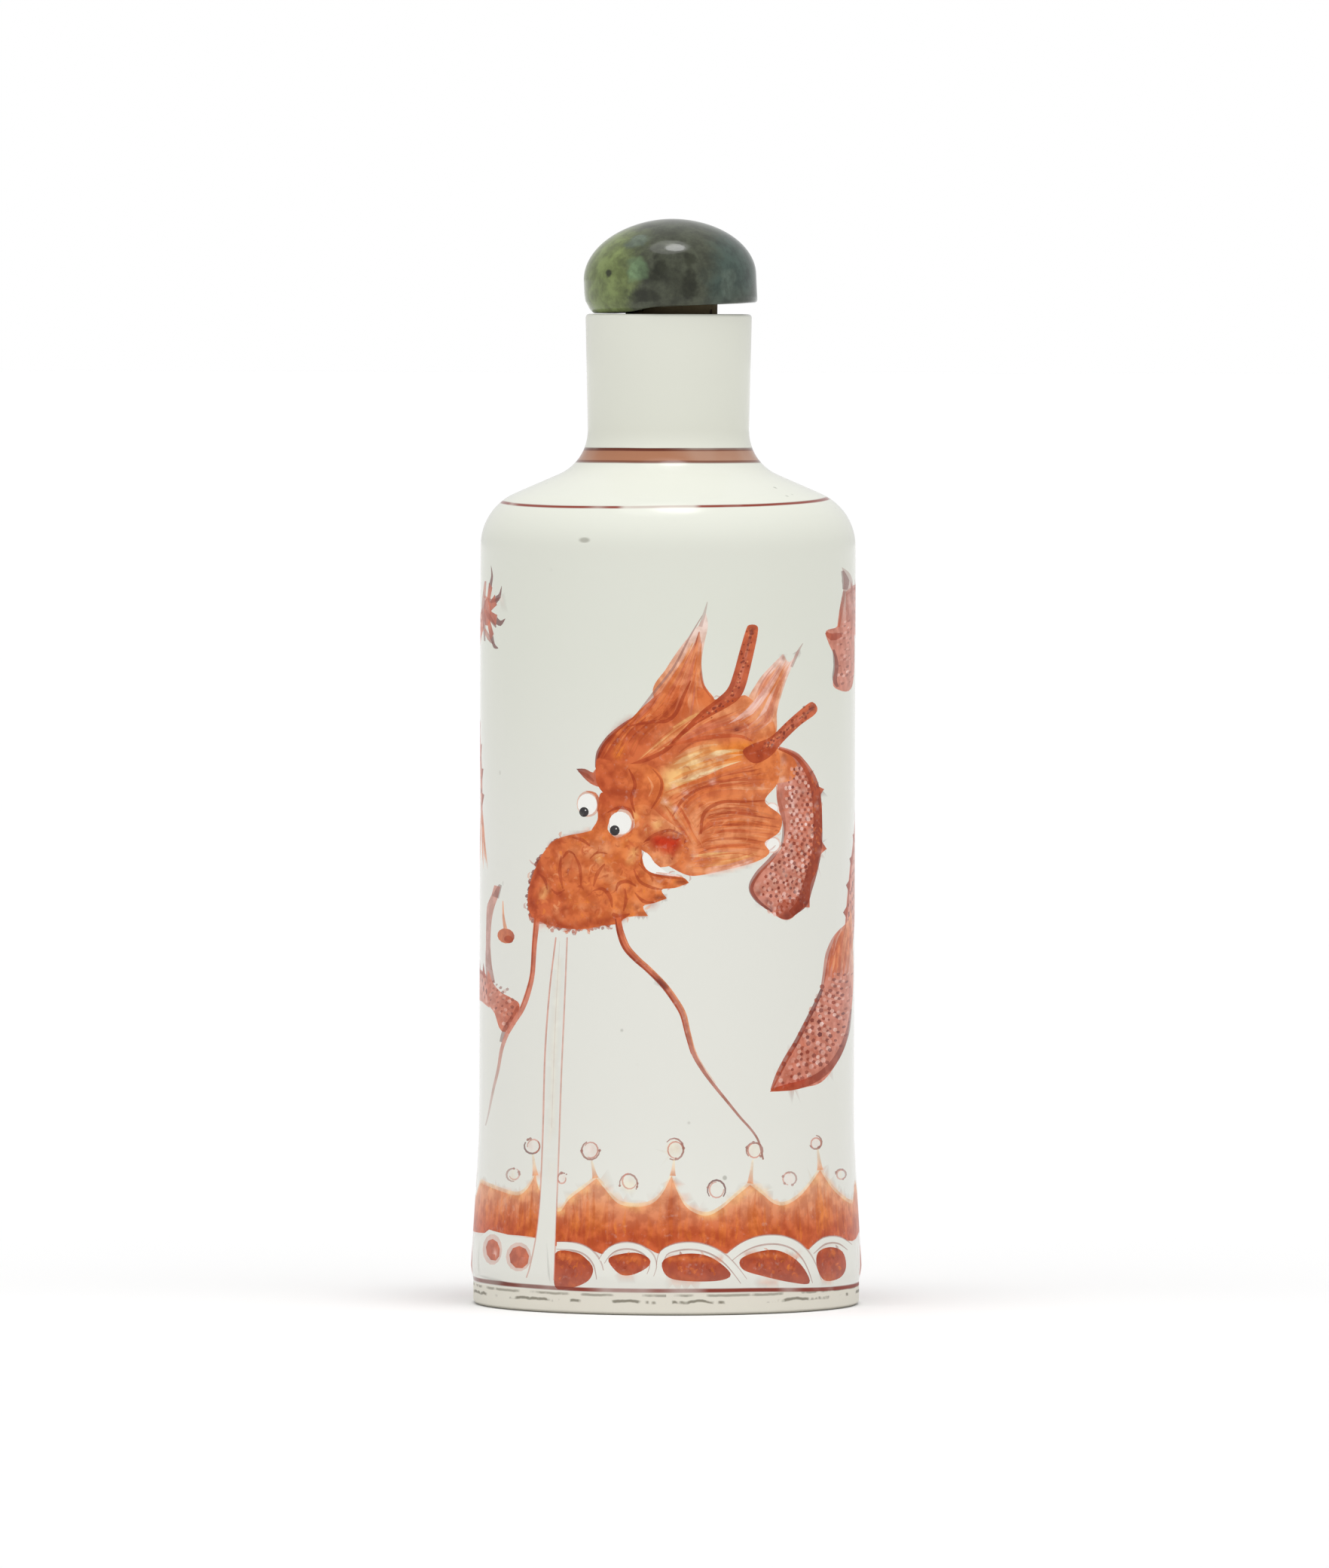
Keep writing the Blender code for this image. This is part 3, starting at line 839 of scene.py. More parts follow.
def muzzle(painter):
    """The shaggy muzzle, with three points of fur behind it."""
    glow = painter.glow
    for spot in resampled(curve([(-9.1, 37.1), (-10.1, 36), (-10.7, 34.8), (-11.15, 33.5),
                                 (-11.35, 32.4), (-11.2, 31.3), (-10.8, 30.7)]), 26):
        spot = spot + (0.22, -0.05) + painter.chance.normal(0, 0.1, 2)
        tone = painter.blend("plum", "brick", painter.chance.random())
        painter.dot(spot, painter.chance.uniform(0.12, 0.3), tone, 0.8, 0.8, 30, 7)
    painter.tufts([(-10.9, 30.9), (-10.2, 30.5), (-9.1, 30.2), (-7.8, 30), (-6.5, 30), (-5.2, 30.3),
        (-4, 30.5)][::-1], 0.26, -0.25, ("brick", "red", "rust"), 0.75, 0.7)
    painter.curls([(-10.6, 30.9), (-10.2, 30.2), (-7.8, 29.75), (-5.2, 30), (-3.8, 30.4), (-3.6, 31),
        (-7.8, 30.6)], 40, 0.5, ("brick", "red", "rust", "orange"), 0.75, 0.26)
    painter.area(MUZZLE, ("red", "orange"), 1, ((-10.4, 31), (-4.6, 34.4)))
    painter.clouds(MUZZLE, 60, 0.7, ("red", "orange", "peach", "brick"), 0.5)
    painter.clouds(MUZZLE, 60, 0.4, ("brick", "glow", "peach", "rust"), 0.45)
    glow([(-6.4, 36.2), (-5, 36.4)], 0.9, "peach", 0.8)
    glow([(-5.5, 35.6)], 0.6, "amber", 0.6)
    glow([(-4.7, 34.2), (-4.1, 33.4)], 0.7, "peach", 0.65)
    glow([(-10, 32.6), (-9.7, 33.2)], 0.6, "amber", 0.55)
    glow([(-7.6, 32.6), (-6.4, 32.2)], 0.9, "orange", 0.6)
    glow([(-8.6, 35.8)], 0.6, "peach", 0.5)
    glow([(-3, 35.4), (-2.6, 36.2)], 0.5, "amber", 0.5)
    painter.curls(MUZZLE, 130, 0.9, ("brick", "red", "red"), 0.6, 0.18)
    painter.curls(MUZZLE, 120, 0.7, ("orange", "peach", "red", "glow"), 0.6, 0.2)
    glow([(-9.4, 36.6), (-8.2, 37.2), (-6.6, 37.6)], 0.4, "brick", 0.6)
    glow([(-10.7, 31.6), (-10.9, 32.8), (-10.2, 35)], 0.5, "brick", 0.9)
    glow([(-10.2, 30.7), (-8, 30.2), (-5.4, 30.5), (-3.6, 31)], 0.5, "brick", 0.7)
    fold = ("brick", 0.7)
    for line, widths in (
        ([(-8.5, 35.8), (-8.6, 34.5), (-8.35, 33.2)], (0.1, 0.3, 0.12)),
        ([(-7.5, 36), (-7, 34.9), (-6.9, 33.4)], (0.08, 0.28, 0.12)),
        ([(-8.4, 35.6), (-7.9, 36.2), (-7.4, 35.9)], (0.1, 0.25, 0.1)),
        ([(-5, 35.2), (-5.6, 34.4), (-5.9, 33.4)], (0.1, 0.32, 0.1)),
        ([(-6, 33), (-5.2, 33.2), (-4.6, 32.6), (-4.4, 31.7)], (0.06, 0.3, 0.32, 0.1)),
        ([(-4.1, 33), (-3.9, 33.6), (-3.2, 33.8), (-2.5, 33.4)], (0.06, 0.3, 0.3, 0.08)),
        ([(-3.4, 33.2), (-3.3, 32.3), (-3.5, 31.4)], (0.08, 0.3, 0.1)),
        ([(-9.3, 33.2), (-8.8, 32.8), (-8.2, 33.1)], (0.06, 0.25, 0.08)),
        ([(-7.6, 37.3), (-6.8, 37.1), (-6.2, 36.6)], (0.08, 0.3, 0.08)),
        ([(-2.7, 34.8), (-2.2, 33.8), (-1.2, 33.3), (-0.4, 33.15)], (0.06, 0.25, 0.25, 0.1)),
        ([(-2.6, 32.9), (-1.9, 32.2), (-1, 32.1)], (0.08, 0.3, 0.1)),
        ([(-2.3, 35.2), (-1.5, 34.5), (-0.2, 34.2), (1.3, 34)], (0.06, 0.25, 0.25, 0.1)),
        ([(-4.4, 31.2), (-3.7, 30.9), (-3, 31.2)], (0.25, 0.45, 0.1)),
        ([(-10.3, 34.4), (-9.8, 33.9), (-9.6, 33.1)], (0.1, 0.26, 0.08)),
        ([(-6.2, 35.6), (-5.6, 36.1), (-4.8, 36)], (0.06, 0.2, 0.06)),
    ):
        painter.stroke(line, widths, *fold)
    for tip in ((1.3, 33.75), (-0.3, 32.5), (-1.8, 31.15)):
        glow([tip, (tip[0] - 0.5, tip[1])], 0.38, "rust", 0.75)


def mouth_and_eyes(painter):
    """The corner of the mouth with its fang, and the two staring eyes."""
    dot, glow, stroke = painter.dot, painter.glow, painter.stroke
    glow([(-1.3, 37.2), (0.1, 37.2), (1, 36.9)], 0.75, "brick", 0.8)
    glow([(-0.3, 36.5), (0.5, 36.3)], 0.6, "red", 0.8)
    glow([(1.4, 36.8), (1, 35.4)], 0.8, "orange", 0.8)
    glow([(-0.7, 37), (0.5, 36.8)], 1.05, "scarlet", 1)
    glow([(-0.2, 36.2), (0.4, 36)], 0.6, "scarlet", 0.6)
    painter.curls([(-1.5, 37.4), (1.2, 37.7), (0.9, 35.8), (-1, 36)], 14, 0.6,
        ("brick", "rust", "scarlet"), 0.7, 0.16)
    stroke([(-1.9, 36.9), (-1.1, 37.5), (0.2, 37.9), (1.2, 37.5)], (0.08, 0.25, 0.25, 0.08), "brick", 0.75)
    painter.area([(-1.84, 36.15), (-1.38, 35.83), (-1.01, 35.28), (-0.28, 34.71), (0.15, 34.32),
        (0.15, 34.32), (-1.01, 34.42), (-1.68, 34.79), (-1.97, 35.47)], "white", 1)
    stroke([(-1.95, 36.1), (-2.1, 35.3), (-1.7, 34.7)], (0.05, 0.14, 0.05), "brick", 0.7)
    stroke([(-0.9, 34.5), (0.2, 34.35), (1, 34.2)], (0.1, 0.18, 0.06), "blush", 0.8)
    glow([(-4.3, 37.2), (-3.6, 37.2)], 0.5, "orange", 1)
    for centre, wide, tall, pupil, size in (
        ((-6.42, 39.95), 0.78, 1.12, (-6.68, 39.34), 0.38),
        ((-3.78, 38.46), 0.90, 1.02, (-4.22, 37.87), 0.40),
    ):
        dot((centre[0] + 0.1, centre[1] + 0.05), wide + 0.16, "orange", 0.5, tall, 0, 18)
        dot(centre, wide, "white", 1, tall, 0, 18)
        glow([(centre[0], centre[1] - wide * tall * 0.9)], 0.35, "blush", 0.4)
        dot(pupil, size, "soot", 0.97, 1.05, 0, 14)
        dot((pupil[0] + 0.12, pupil[1] + 0.14), 0.06, "white", 0.8, 1, 0, 6)
    stroke([(-6.5, 41), (-5.8, 40.8), (-5.5, 40.1), (-5.6, 39.4)], (0.05, 0.22, 0.28, 0.1),
        ("orange", "brick"), 0.8)
    stroke([(-4.8, 39.3), (-3.9, 39.7), (-3, 39.5), (-2.7, 38.8)], (0.08, 0.26, 0.28, 0.1), "brick", 0.9)
    stroke([(-2.75, 38.7), (-2.9, 37.8), (-3.5, 37.3)], (0.08, 0.2, 0.06), "red", 0.7)


def head(painter):
    """The dragon's head in three quarter view."""
    mane(painter)
    horns(painter)
    brow(painter)
    muzzle(painter)
    mouth_and_eyes(painter)


NECK = [(8.54, 44.56), (9.64, 44.28), (10.74, 43.55), (11.47, 42.35), (11.84, 41.62), (12.54, 41.22),
    (12.54, 41.22), (12.21, 40.61), (12.36, 39.78), (12.36, 37.95), (12.3, 37.21), (12.76, 36.44),
    (12.76, 36.44), (12.17, 35.83), (11.93, 34.64), (11.47, 33.54), (11.4, 31.74), (11.4, 31.74),
    (10.74, 31.67), (10, 30.88), (9.36, 30.75), (8.72, 31.06), (7.43, 31.98), (6.61, 33.17), (7.25, 34.46),
    (8.35, 35.56), (9.18, 36.66), (9.31, 38.13), (8.9, 39.6), (8.72, 40.7), (8.72, 41.62), (7.43, 41.62),
    (6.88, 42.9), (7.62, 44.37)]


def narrowed(painter, across):
    """How narrow a round mark looks that far to the side. Marks on the wall's own map stay round."""
    if painter.place is as_placed:
        return 1
    return min(1, math.sqrt(max(0, 1 - (across / VIEW_HALF) ** 2)) / 0.6)


def scales(painter, spine, widths, size, dark=0.85, light=0.8):
    """Rows of uneven scales along a line: a dark ring round a small pale middle."""
    line = curve(spine, step=0.3)
    line = resampled(line, max(3, round(run_lengths(line).sum() / (size * 0.78))))
    half = spread(widths, len(line))
    chance = painter.chance
    for n, (spot, away, reach) in enumerate(zip(line, sideways(line), half)):
        lean = math.degrees(math.atan2(-away[0], away[1]))
        count = int(reach / size) + 1
        for column in range(-count, count + 1):
            shift = (column + 0.5 * (n % 2)) * size
            if abs(shift) > reach:
                continue
            centre = spot + away * shift + chance.normal(0, 0.1 * size, 2)
            between = centre + away * size * 0.5 + chance.normal(0, 0.1 * size, 2)
            narrow = min(narrowed(painter, centre[0]), narrowed(painter, between[0]))
            if narrow < NARROWEST:
                continue
            pale = painter.blend("blush", "rose", chance.random() ** 1.3)
            painter.dot(centre, size * chance.uniform(0.3, 0.46) * narrow, pale,
                light * chance.uniform(0.4, 1.2), 0.8 / narrow, lean * narrow, 6)
            tone = painter.blend("plum", "brick", 0.6 * chance.random())
            painter.dot(between, size * chance.uniform(0.22, 0.4) * narrow, tone,
                dark * chance.uniform(0.7, 1.15), 0.9 / narrow, lean * narrow, 5)


def neck_arc(painter):
    """The part of the dragon's neck that shows beside the mane: scaled, with a finned back."""
    stroke = painter.stroke
    painter.area(NECK, ("rose", "red"), 0.95, ((10, 36), (12, 36)))
    painter.area([(7, 44.3), (8.4, 44.5), (9.7, 44.1), (10.4, 43), (10, 42), (8.9, 41.7), (7.4, 41.7),
        (6.9, 42.9)], ("peach", "orange"), 0.95, ((8.2, 43.4), (9.8, 44)))
    painter.clouds(NECK, 40, 0.5, ("rose", "mauve", "blush", "red"), 0.5)
    scales(painter, [(10.3, 42.9), (10.4, 41.2), (10.6, 39.23), (10.6, 37.76), (10.28, 36.29),
        (9.73, 34.82), (9.1, 33.3), (8.9, 32.2), (9.2, 31.5)],
        (0.5, 1.1, 1.15, 1.1, 1.1, 1.3, 1.75, 1.8, 0.9), 0.47)
    stroke([(8.9, 44.5), (10.37, 43.8), (11.38, 42.45), (11.84, 41.1), (12, 39.6), (12.05, 37.76),
        (11.95, 36.29), (11.6, 34.64), (11.15, 33.17), (10.78, 32.07), (9.9, 31.25)],
        (0.25, 0.4, 0.6, 0.75, 0.7, 0.7, 0.75, 0.8, 0.85, 0.9, 0.5), ("brick", "rust"), 0.88)
    painter.clouds(NECK, 26, 0.4, ("blush", "plum", "blush"), 0.45)
    painter.curls([(11.3, 42.8), (12.2, 41), (12.3, 38), (12.1, 36), (11.4, 33), (10.6, 31.6), (11, 33.6),
        (11.5, 36), (11.6, 39), (11.2, 41.6)], 44, 0.6, ("red", "rust", "orange", "plum"), 0.6, 0.18, 90)
    painter.area([(9, 32.2), (10.2, 32.4), (10.9, 31.8), (10, 30.95), (9.36, 30.8), (8.7, 31.2)],
        ("brick", "rust"), (0.5, 0.9), ((9.2, 32.2), (10, 31)))
    stroke([(8.72, 41.5), (8.95, 40.2), (9.3, 38.9), (9.3, 37.7), (9.1, 36.6)], (0.1, 0.3, 0.3, 0.25, 0.1),
        ("rose", "plum"), 0.6)
    stroke([(9.1, 36.7), (8.2, 35.5), (7.2, 34.4), (6.7, 33.3), (7.2, 32.3), (8.4, 31.4)],
        (0.1, 0.35, 0.4, 0.4, 0.3, 0.1), ("brick", "plum"), 0.75)
    for spot in ((8, 32.3), (8.3, 31.7), (7.3, 32.9), (12.1, 40.2), (12.35, 41), (12.5, 36.5),
                 (11.25, 32), (9.6, 31)):
        painter.glow([spot], 0.4, "plum", 0.7)
    stroke([(8.9, 44.6), (10.4, 44), (11.5, 42.7)], (0.1, 0.2, 0.06), "rose", 0.8)
    for centre, wide, tall in (((8.4, 39.7), 0.42, 0.8), ((8.45, 36.75), 0.5, 1.1)):
        painter.dot(centre, wide + 0.14, "blush", 0.7, tall, -20, 12)
        painter.dot(centre, wide, "white", 0.95, tall, -20, 12)


def whiskers(painter):
    """The two long whiskers that hang from the muzzle."""
    right = [(-3.97, 30.9), (-3.74, 29.69), (-3.27, 28.51), (-2.45, 27.58), (-1.51, 26.76), (-0.23, 25.47),
        (0.71, 24.18), (1.3, 23.12), (1.65, 21.72), (2.12, 20.08), (2.82, 18.79), (3.76, 17.5),
        (4.81, 16.21), (5.87, 14.92), (6.81, 13.87), (7.39, 12.93), (7.74, 11.52)]
    painter.stroke(right, (0.5, 0.62, 0.55, 0.45, 0.52, 0.52, 0.4, 0.3, 0.25, 0.2, 0.18, 0.14),
        ("red", "mauve"), (0.97, 0.9))
    painter.stroke([(x + 0.16, y + 0.12) for x, y in right[1:12]], (0.05, 0.14, 0.14, 0.14, 0.12, 0.04),
        "peach", 0.55)
    painter.stroke([(x - 0.17, y - 0.1) for x, y in right[:10]], (0.1, 0.2, 0.16, 0.18, 0.12, 0.05),
        ("rust", "brick"), 0.8)
    painter.glow([(-0.7, 25.9), (-0.1, 25.3)], 0.34, "plum", 0.95)
    left = [(-10.42, 30.8), (-10.62, 28.75), (-10.77, 26.41), (-11.12, 24.88), (-11.59, 23.59),
        (-12.18, 22.61), (-12.76, 21.6)]
    painter.stroke(left, (0.5, 0.42, 0.36, 0.4, 0.45, 0.42, 0.3), ("red", "rose"), 0.92)
    painter.stroke([(x - 0.13, y) for x, y in left[:5]], (0.08, 0.14, 0.12, 0.05), "brick", 0.75)
    painter.stroke([(-12.7, 21.8), (-13.2, 20.4), (-13.5, 18.7), (-13.9, 17), (-14.25, 15.2),
        (-14.5, 14.2)], (0.35, 0.26, 0.22, 0.16, 0.08), ("rose", "mauve"), (0.85, 0.4))
    painter.glow([(-10.1, 30.2)], 0.5, "blush", 0.55)


# The waves and ripples past the front, in mm: how far apart they are, where they start, how high
# the waves' troughs lie, how far their crests rise over them and how uneven they are. The drawn
# front ends at FRONT_EDGE.
WAVE_PITCH = 94.25 / 14
WAVE_START = 0.54
TROUGH = 8.35
CREST_RISE = 2.25
CREST_UNEVEN = 0.35
RIPPLE_PITCH = 6.65
RIPPLE_START = 20.4
FRONT_EDGE = 20.6


def wave_line(u):
    """The height of the waves' crests at a place round the wall, in mm."""
    count, share = divmod((u - WAVE_START) / WAVE_PITCH, 1)
    lift = CREST_UNEVEN * math.sin(2.3 * count + 0.9)
    return TROUGH + (CREST_RISE + lift) * abs(2 * share - 1) ** 1.7


def waves(painter, front):
    """The band of waves all round, over the row of ripples."""
    seen_crests = [(-14.7, 9.5), (-13.2, 8.9), (-11.9, 8.6), (-11.1, 9.2), (-10.5, 10.3), (-10.5, 10.3),
        (-10.1, 8.9), (-8.7, 7.3), (-7.8, 8.3), (-6.6, 9.2), (-5.6, 10), (-5.6, 10), (-4.9, 9.1),
        (-3.9, 8), (-2.6, 7.7), (-1.3, 7.9), (-0.4, 8.7), (0.4, 10.2), (0.4, 10.2), (0.9, 8.9), (1.7, 7.6),
        (3.1, 7), (4.3, 7.5), (5.6, 8.6), (6.7, 9.5), (6.7, 9.5), (7.6, 8.8), (8.6, 8), (9.6, 7.9),
        (10.9, 8.8), (12.3, 10.7), (12.3, 10.7), (13.3, 9.2), (14.4, 8.2), (14.9, 8)]
    crests = front(curve(seen_crests))
    low = front(curve([(-14.99, 5.9), (-13.11, 5.78), (-10.49, 5.5), (-8.66, 4.8), (-7.26, 4.94),
        (-5.62, 4.38), (-4.91, 4.26), (-3.15, 5.03), (-1.63, 4.73), (-0.46, 4.26), (1.18, 5.03),
        (3.06, 4.89), (5.05, 4.26), (6.81, 5.2), (8.68, 5.43), (10.32, 5.08), (11.61, 4.61), (12.9, 5.36),
        (14.89, 5.31)]) - (0, 0.3))
    start, end = crests[-1][0], crests[0][0] + 2 * HALF_ROUND
    steps = np.linspace(start, end, 150)
    ease = np.clip(np.minimum(steps - start, end - steps) / 2, 0, 1)
    near = np.where(steps - start < end - steps, crests[-1][1], crests[0][1])
    behind = np.stack([steps, [wave_line(u) for u in steps] * ease + near * (1 - ease)], 1)[1:-1]
    near_low = np.where(steps - start < end - steps, low[-1][1], low[0][1])
    behind_low = np.stack([steps, 5.8 * ease + near_low * (1 - ease)], 1)[1:-1]
    chance = painter.chance
    once_round = (2 * HALF_ROUND, 0)
    back_crests = np.concatenate([crests[-1:], behind, crests[:1] + once_round])
    back_low = np.concatenate([low[-1:], behind_low, low[:1] + once_round])
    for top, bottom in ((crests, low), (back_crests, back_low)):
        outline = np.concatenate([top, bottom[::-1]])
        lifted = np.concatenate([top + (0, 0.3), bottom[::-1]])
        middle = top[len(top) // 2][0]
        painter.lay(lifted, ("straw", "amber"), (0.4, 0.6), ((middle, 11), (middle, 7)))
        painter.lay(outline, ("peach", "red"), (0.75, 1), ((middle, 10.6), (middle, 6.6)))
        for u in np.arange(top[0][0], top[-1][0], 0.5):
            edge = np.interp(u, top[:, 0], top[:, 1])
            reach = chance.uniform(0.35, 0.6)
            tone = chance.choice(("amber", "peach", "peach"))
            painter.glow([(u, edge), (u + 0.5, edge)], reach, tone, 0.4)
        first, last = top[0][0], top[-1][0]
        for _ in range(int((last - first) * (7 if top is crests else 4))):
            u = chance.uniform(first, last)
            high = np.interp(u, top[:, 0], top[:, 1])
            base = np.interp(u, bottom[:, 0], bottom[:, 1])
            tip = base + (high - base) * chance.uniform(0.35, 1)
            foot = base + (high - base) * chance.uniform(0, 0.35)
            line = [(u, foot), (u + chance.normal(0, 0.12), (foot + tip) / 2), (u, tip)]
            tone = painter.blend(*chance.choice(("orange", "red", "brick", "glow"), 2), chance.random())
            widths = (0.1, chance.uniform(0.2, 0.5), 0.04)
            painter.stroke(line, widths, tone, (chance.uniform(0.35, 0.6), 0.2), step=0.8)
        for n in range(int((last - first) / 1.2)):
            u = first + n * 1.2
            base = np.interp(u, bottom[:, 0], bottom[:, 1])
            painter.glow([(u, base + 0.6), (u + 1.2, base + 0.6)], 1.3, "brick", 0.15)
    painter.glow([(0.4, 6.2), (0.4, 9.6)], 0.8, "brick", 0.65)
    for u, z in ((-11.6, 7.6), (-5.4, 8.4), (7, 8), (14.6, 8.4)):
        painter.glow([(u, z - 1.4), (u, z)], 1, "glow", 0.35)


def foam(painter, place):
    """A loose ring of foam over a wave: two uneven rings and a soft middle."""
    centre, radius, turn, tone, cover = place
    chance = painter.chance
    start = chance.uniform(0, 360)
    painter.glow([centre], radius * 1.3, chance.choice(("blush", "cream", "straw")), 0.45)
    painter.ring(centre, radius, 0.16, tone, cover, start, turn * 0.75, chance.uniform(0.95, 1.15))
    shifted = np.asarray(centre, float) + chance.normal(0, 0.08, 2)
    painter.ring(shifted, radius * 0.8, 0.13, "rose", cover * 0.8, start + 130, turn * 0.8, 1.1)
    for _ in range(3):
        bead = np.radians(chance.uniform(0, 360))
        spot = np.asarray(centre, float) + radius * np.array([np.cos(bead), np.sin(bead)])
        painter.dot(spot, chance.uniform(0.07, 0.14), "mauve", cover, 1, 0, 6)


def foam_rings(front, around):
    """Two rows of foam rings all round: one over the crests, and one over the troughs."""
    for place in (
        ((-10.77, 12.55), 0.62, 340, "plum", 0.75), ((-6.08, 12.23), 0.72, 330, "mauve", 0.85),
        ((0.6, 12.34), 0.76, 345, "mauve", 0.9), ((7.04, 12.23), 0.66, 340, "mauve", 0.9),
        ((11.92, 12.93), 0.5, 320, "mauve", 0.85), ((-12.29, 10.24), 0.52, 280, "mauve", 0.65),
        ((-8.31, 10), 0.42, 230, "mauve", 0.8), ((-3.04, 9.53), 0.72, 300, "mauve", 0.8),
        ((4, 9.06), 0.72, 345, "plum", 0.8), ((9.85, 10), 0.55, 250, "mauve", 0.7),
        ((13.95, 10.35), 0.42, 320, "mauve", 0.7),
    ):
        foam(front, place)
    for top, low in (((-10.7, 11.9), (-10.5, 10.2)), ((-6, 11.4), (-5.7, 10)),
                     ((0.6, 11.5), (0.5, 10.2)), ((6.9, 11.5), (6.7, 9.6)), ((12.1, 12.4), (12.3, 10.7))):
        front.stroke([top, low], (0.14, 0.25, 0.5), ("straw", "peach"), (0.4, 0.8))
    for n in range(4, 12):
        u = WAVE_START + n * WAVE_PITCH
        if not FRONT_EDGE < u < 2 * HALF_ROUND - FRONT_EDGE:
            continue
        lift = 0.3 * math.sin(1.9 * n)
        foam(around, ((u, 12.8 + lift), 0.68, 335, "mauve", 0.85))
        around.stroke([(u, 12.1 + lift), (u, 10.6)], (0.14, 0.25, 0.5), ("straw", "peach"), (0.4, 0.8))
        foam(around, ((u + WAVE_PITCH / 2, 10 - lift), 0.62, 290, "plum", 0.75))


def ripple(painter, band, fill, thick=0.6):
    """One scale shaped ripple: a pale band over a dark fill with a soft lower edge."""
    painter.stroke(band, (thick * 0.8, thick, thick, thick * 0.85), "cream", 1, wipes=True, step=0.5)
    line = curve(band)
    for offset, cover in ((thick / 2, 0.55), (-thick / 2, 0.65)):
        edge = line + sideways(line) * offset
        painter.stroke(resampled(edge, 9), (0.05, 0.14, 0.14, 0.05), "mauve", cover)
    high = max(y for _, y in fill)
    painter.area(fill, ("brick", "brick"), (1, 0.92), ((fill[0][0], high), (fill[0][0], 1.4)))
    low_end = min(y for _, y in fill)
    under_middle = (np.mean([x for x, _ in fill]), low_end)
    painter.glow([under_middle, (fill[-2][0], low_end + 0.1)], 0.6, "orange", 0.35)
    shape = np.asarray(fill, float)
    middle = shape.mean(0)
    inner = middle + (shape - middle) * 0.72
    painter.curls(inner, int(np.ptp(shape[:, 0]) * 5), 0.6, ("rust", "orange", "brick", "glow"), 0.6, 0.22,
        80)
    painter.glow([(shape[:, 0].min() + 0.5, high - 0.35), (shape[:, 0].max() - 0.9, high - 0.5)], 0.35,
        "orange", 0.6)


def ripples(front, around):
    """The row of ripples between the waves and the foot."""
    front.area([(-14.95, 5.2), (-14.2, 5.85), (-12.9, 5.5), (-12.2, 5.3), (-11.2, 5.2), (-9.6, 5.1),
        (-9.2, 1.2), (-12, 1.4), (-14.95, 2.2)], "cream", 1, sharp=True, wipes=True)
    for centre, wide, tall in (((-13.93, 4.26), 0.62, 1.6), ((-11.83, 3.67), 0.86, 1.15)):
        front.dot(centre, wide + 0.16, "rose", 0.4, tall, 0, 14)
        front.dot((centre[0] + 0.05, centre[1] - 0.04), wide - 0.06, ("red", "brick"), 0.85, tall, 8, 9)
        front.glow([(centre[0] - 0.1, centre[1] + 0.5)], 0.4, "rose", 0.6)
        front.glow([(centre[0] + 0.25, centre[1] - 0.3)], 0.4, "blush", 0.7)
    ripple(front, [(-8.78, 4.61), (-7.26, 4.49), (-6.2, 4.02), (-5.5, 3.09), (-5.26, 1.92)], [(-8.9, 3.95),
        (-7.26, 4.05), (-6.32, 3.44), (-5.85, 2.69), (-6.27, 1.75), (-7.61, 1.19), (-8.9, 1.28)], 0.65)
    ripple(front, [(-5.19, 3.32), (-4.44, 4.26), (-3.15, 4.61), (-1.87, 4.26), (-1.05, 3.32),
        (-1.28, 2.22)], [(-4.63, 3.56), (-3.51, 3.95), (-2.29, 4), (-1.35, 3.53), (-1.44, 2.92),
        (-2.52, 2.31), (-3.51, 2.22), (-4.26, 2.78)], 0.56)
    ripple(front, [(-0.51, 2.92), (-0.23, 4.02), (1.18, 4.56), (2.82, 4.49), (4.23, 3.91), (5.28, 2.97),
        (6.22, 1.75)], [(-0.18, 3.49), (1.42, 3.95), (3.06, 3.86), (4.34, 3.2), (5.17, 2.31), (4.51, 1.85),
        (2.59, 1.72), (0.48, 1.92), (-0.27, 2.62)], 0.6)
    ripple(front, [(5.05, 3.72), (6.1, 4.49), (7.51, 5.03), (9.15, 5.08), (10.56, 4.49), (11.49, 3.32),
        (12.08, 1.75)], [(5.92, 3.49), (7.04, 4.05), (8.68, 4.28), (10.09, 3.72), (11.07, 2.74),
        (11.45, 1.61), (9.85, 1.7), (7.74, 2.17), (6.15, 2.69)], 0.75)
    ripple(front, [(11.61, 4.19), (12.66, 5.03), (13.84, 5.08), (14.7, 4.5)], [(12.15, 4.09),
        (13.13, 4.52), (14.12, 4.14), (14.4, 2.92), (13.88, 2.03), (12.66, 1.85), (12.06, 2.97)], 0.56)
    front.stroke([(-5, 2.6), (-5.2, 1.4)], (0.5, 0.9), "cream", 1, wipes=True)
    for n in range(8):
        u = RIPPLE_START + n * RIPPLE_PITCH
        ripple(around, [(u, 3), (u + 0.9, 4.6), (u + 2.4, 5.6), (u + 4.2, 5.6), (u + 5.6, 4.5),
            (u + 6.5, 2.6)], [(u + 1.3, 3.6), (u + 2.2, 4.6), (u + 3.4, 4.9), (u + 4.6, 4.4),
            (u + 5.4, 3.4), (u + 5.2, 2.5), (u + 3.2, 2.3), (u + 1.3, 2.5)])


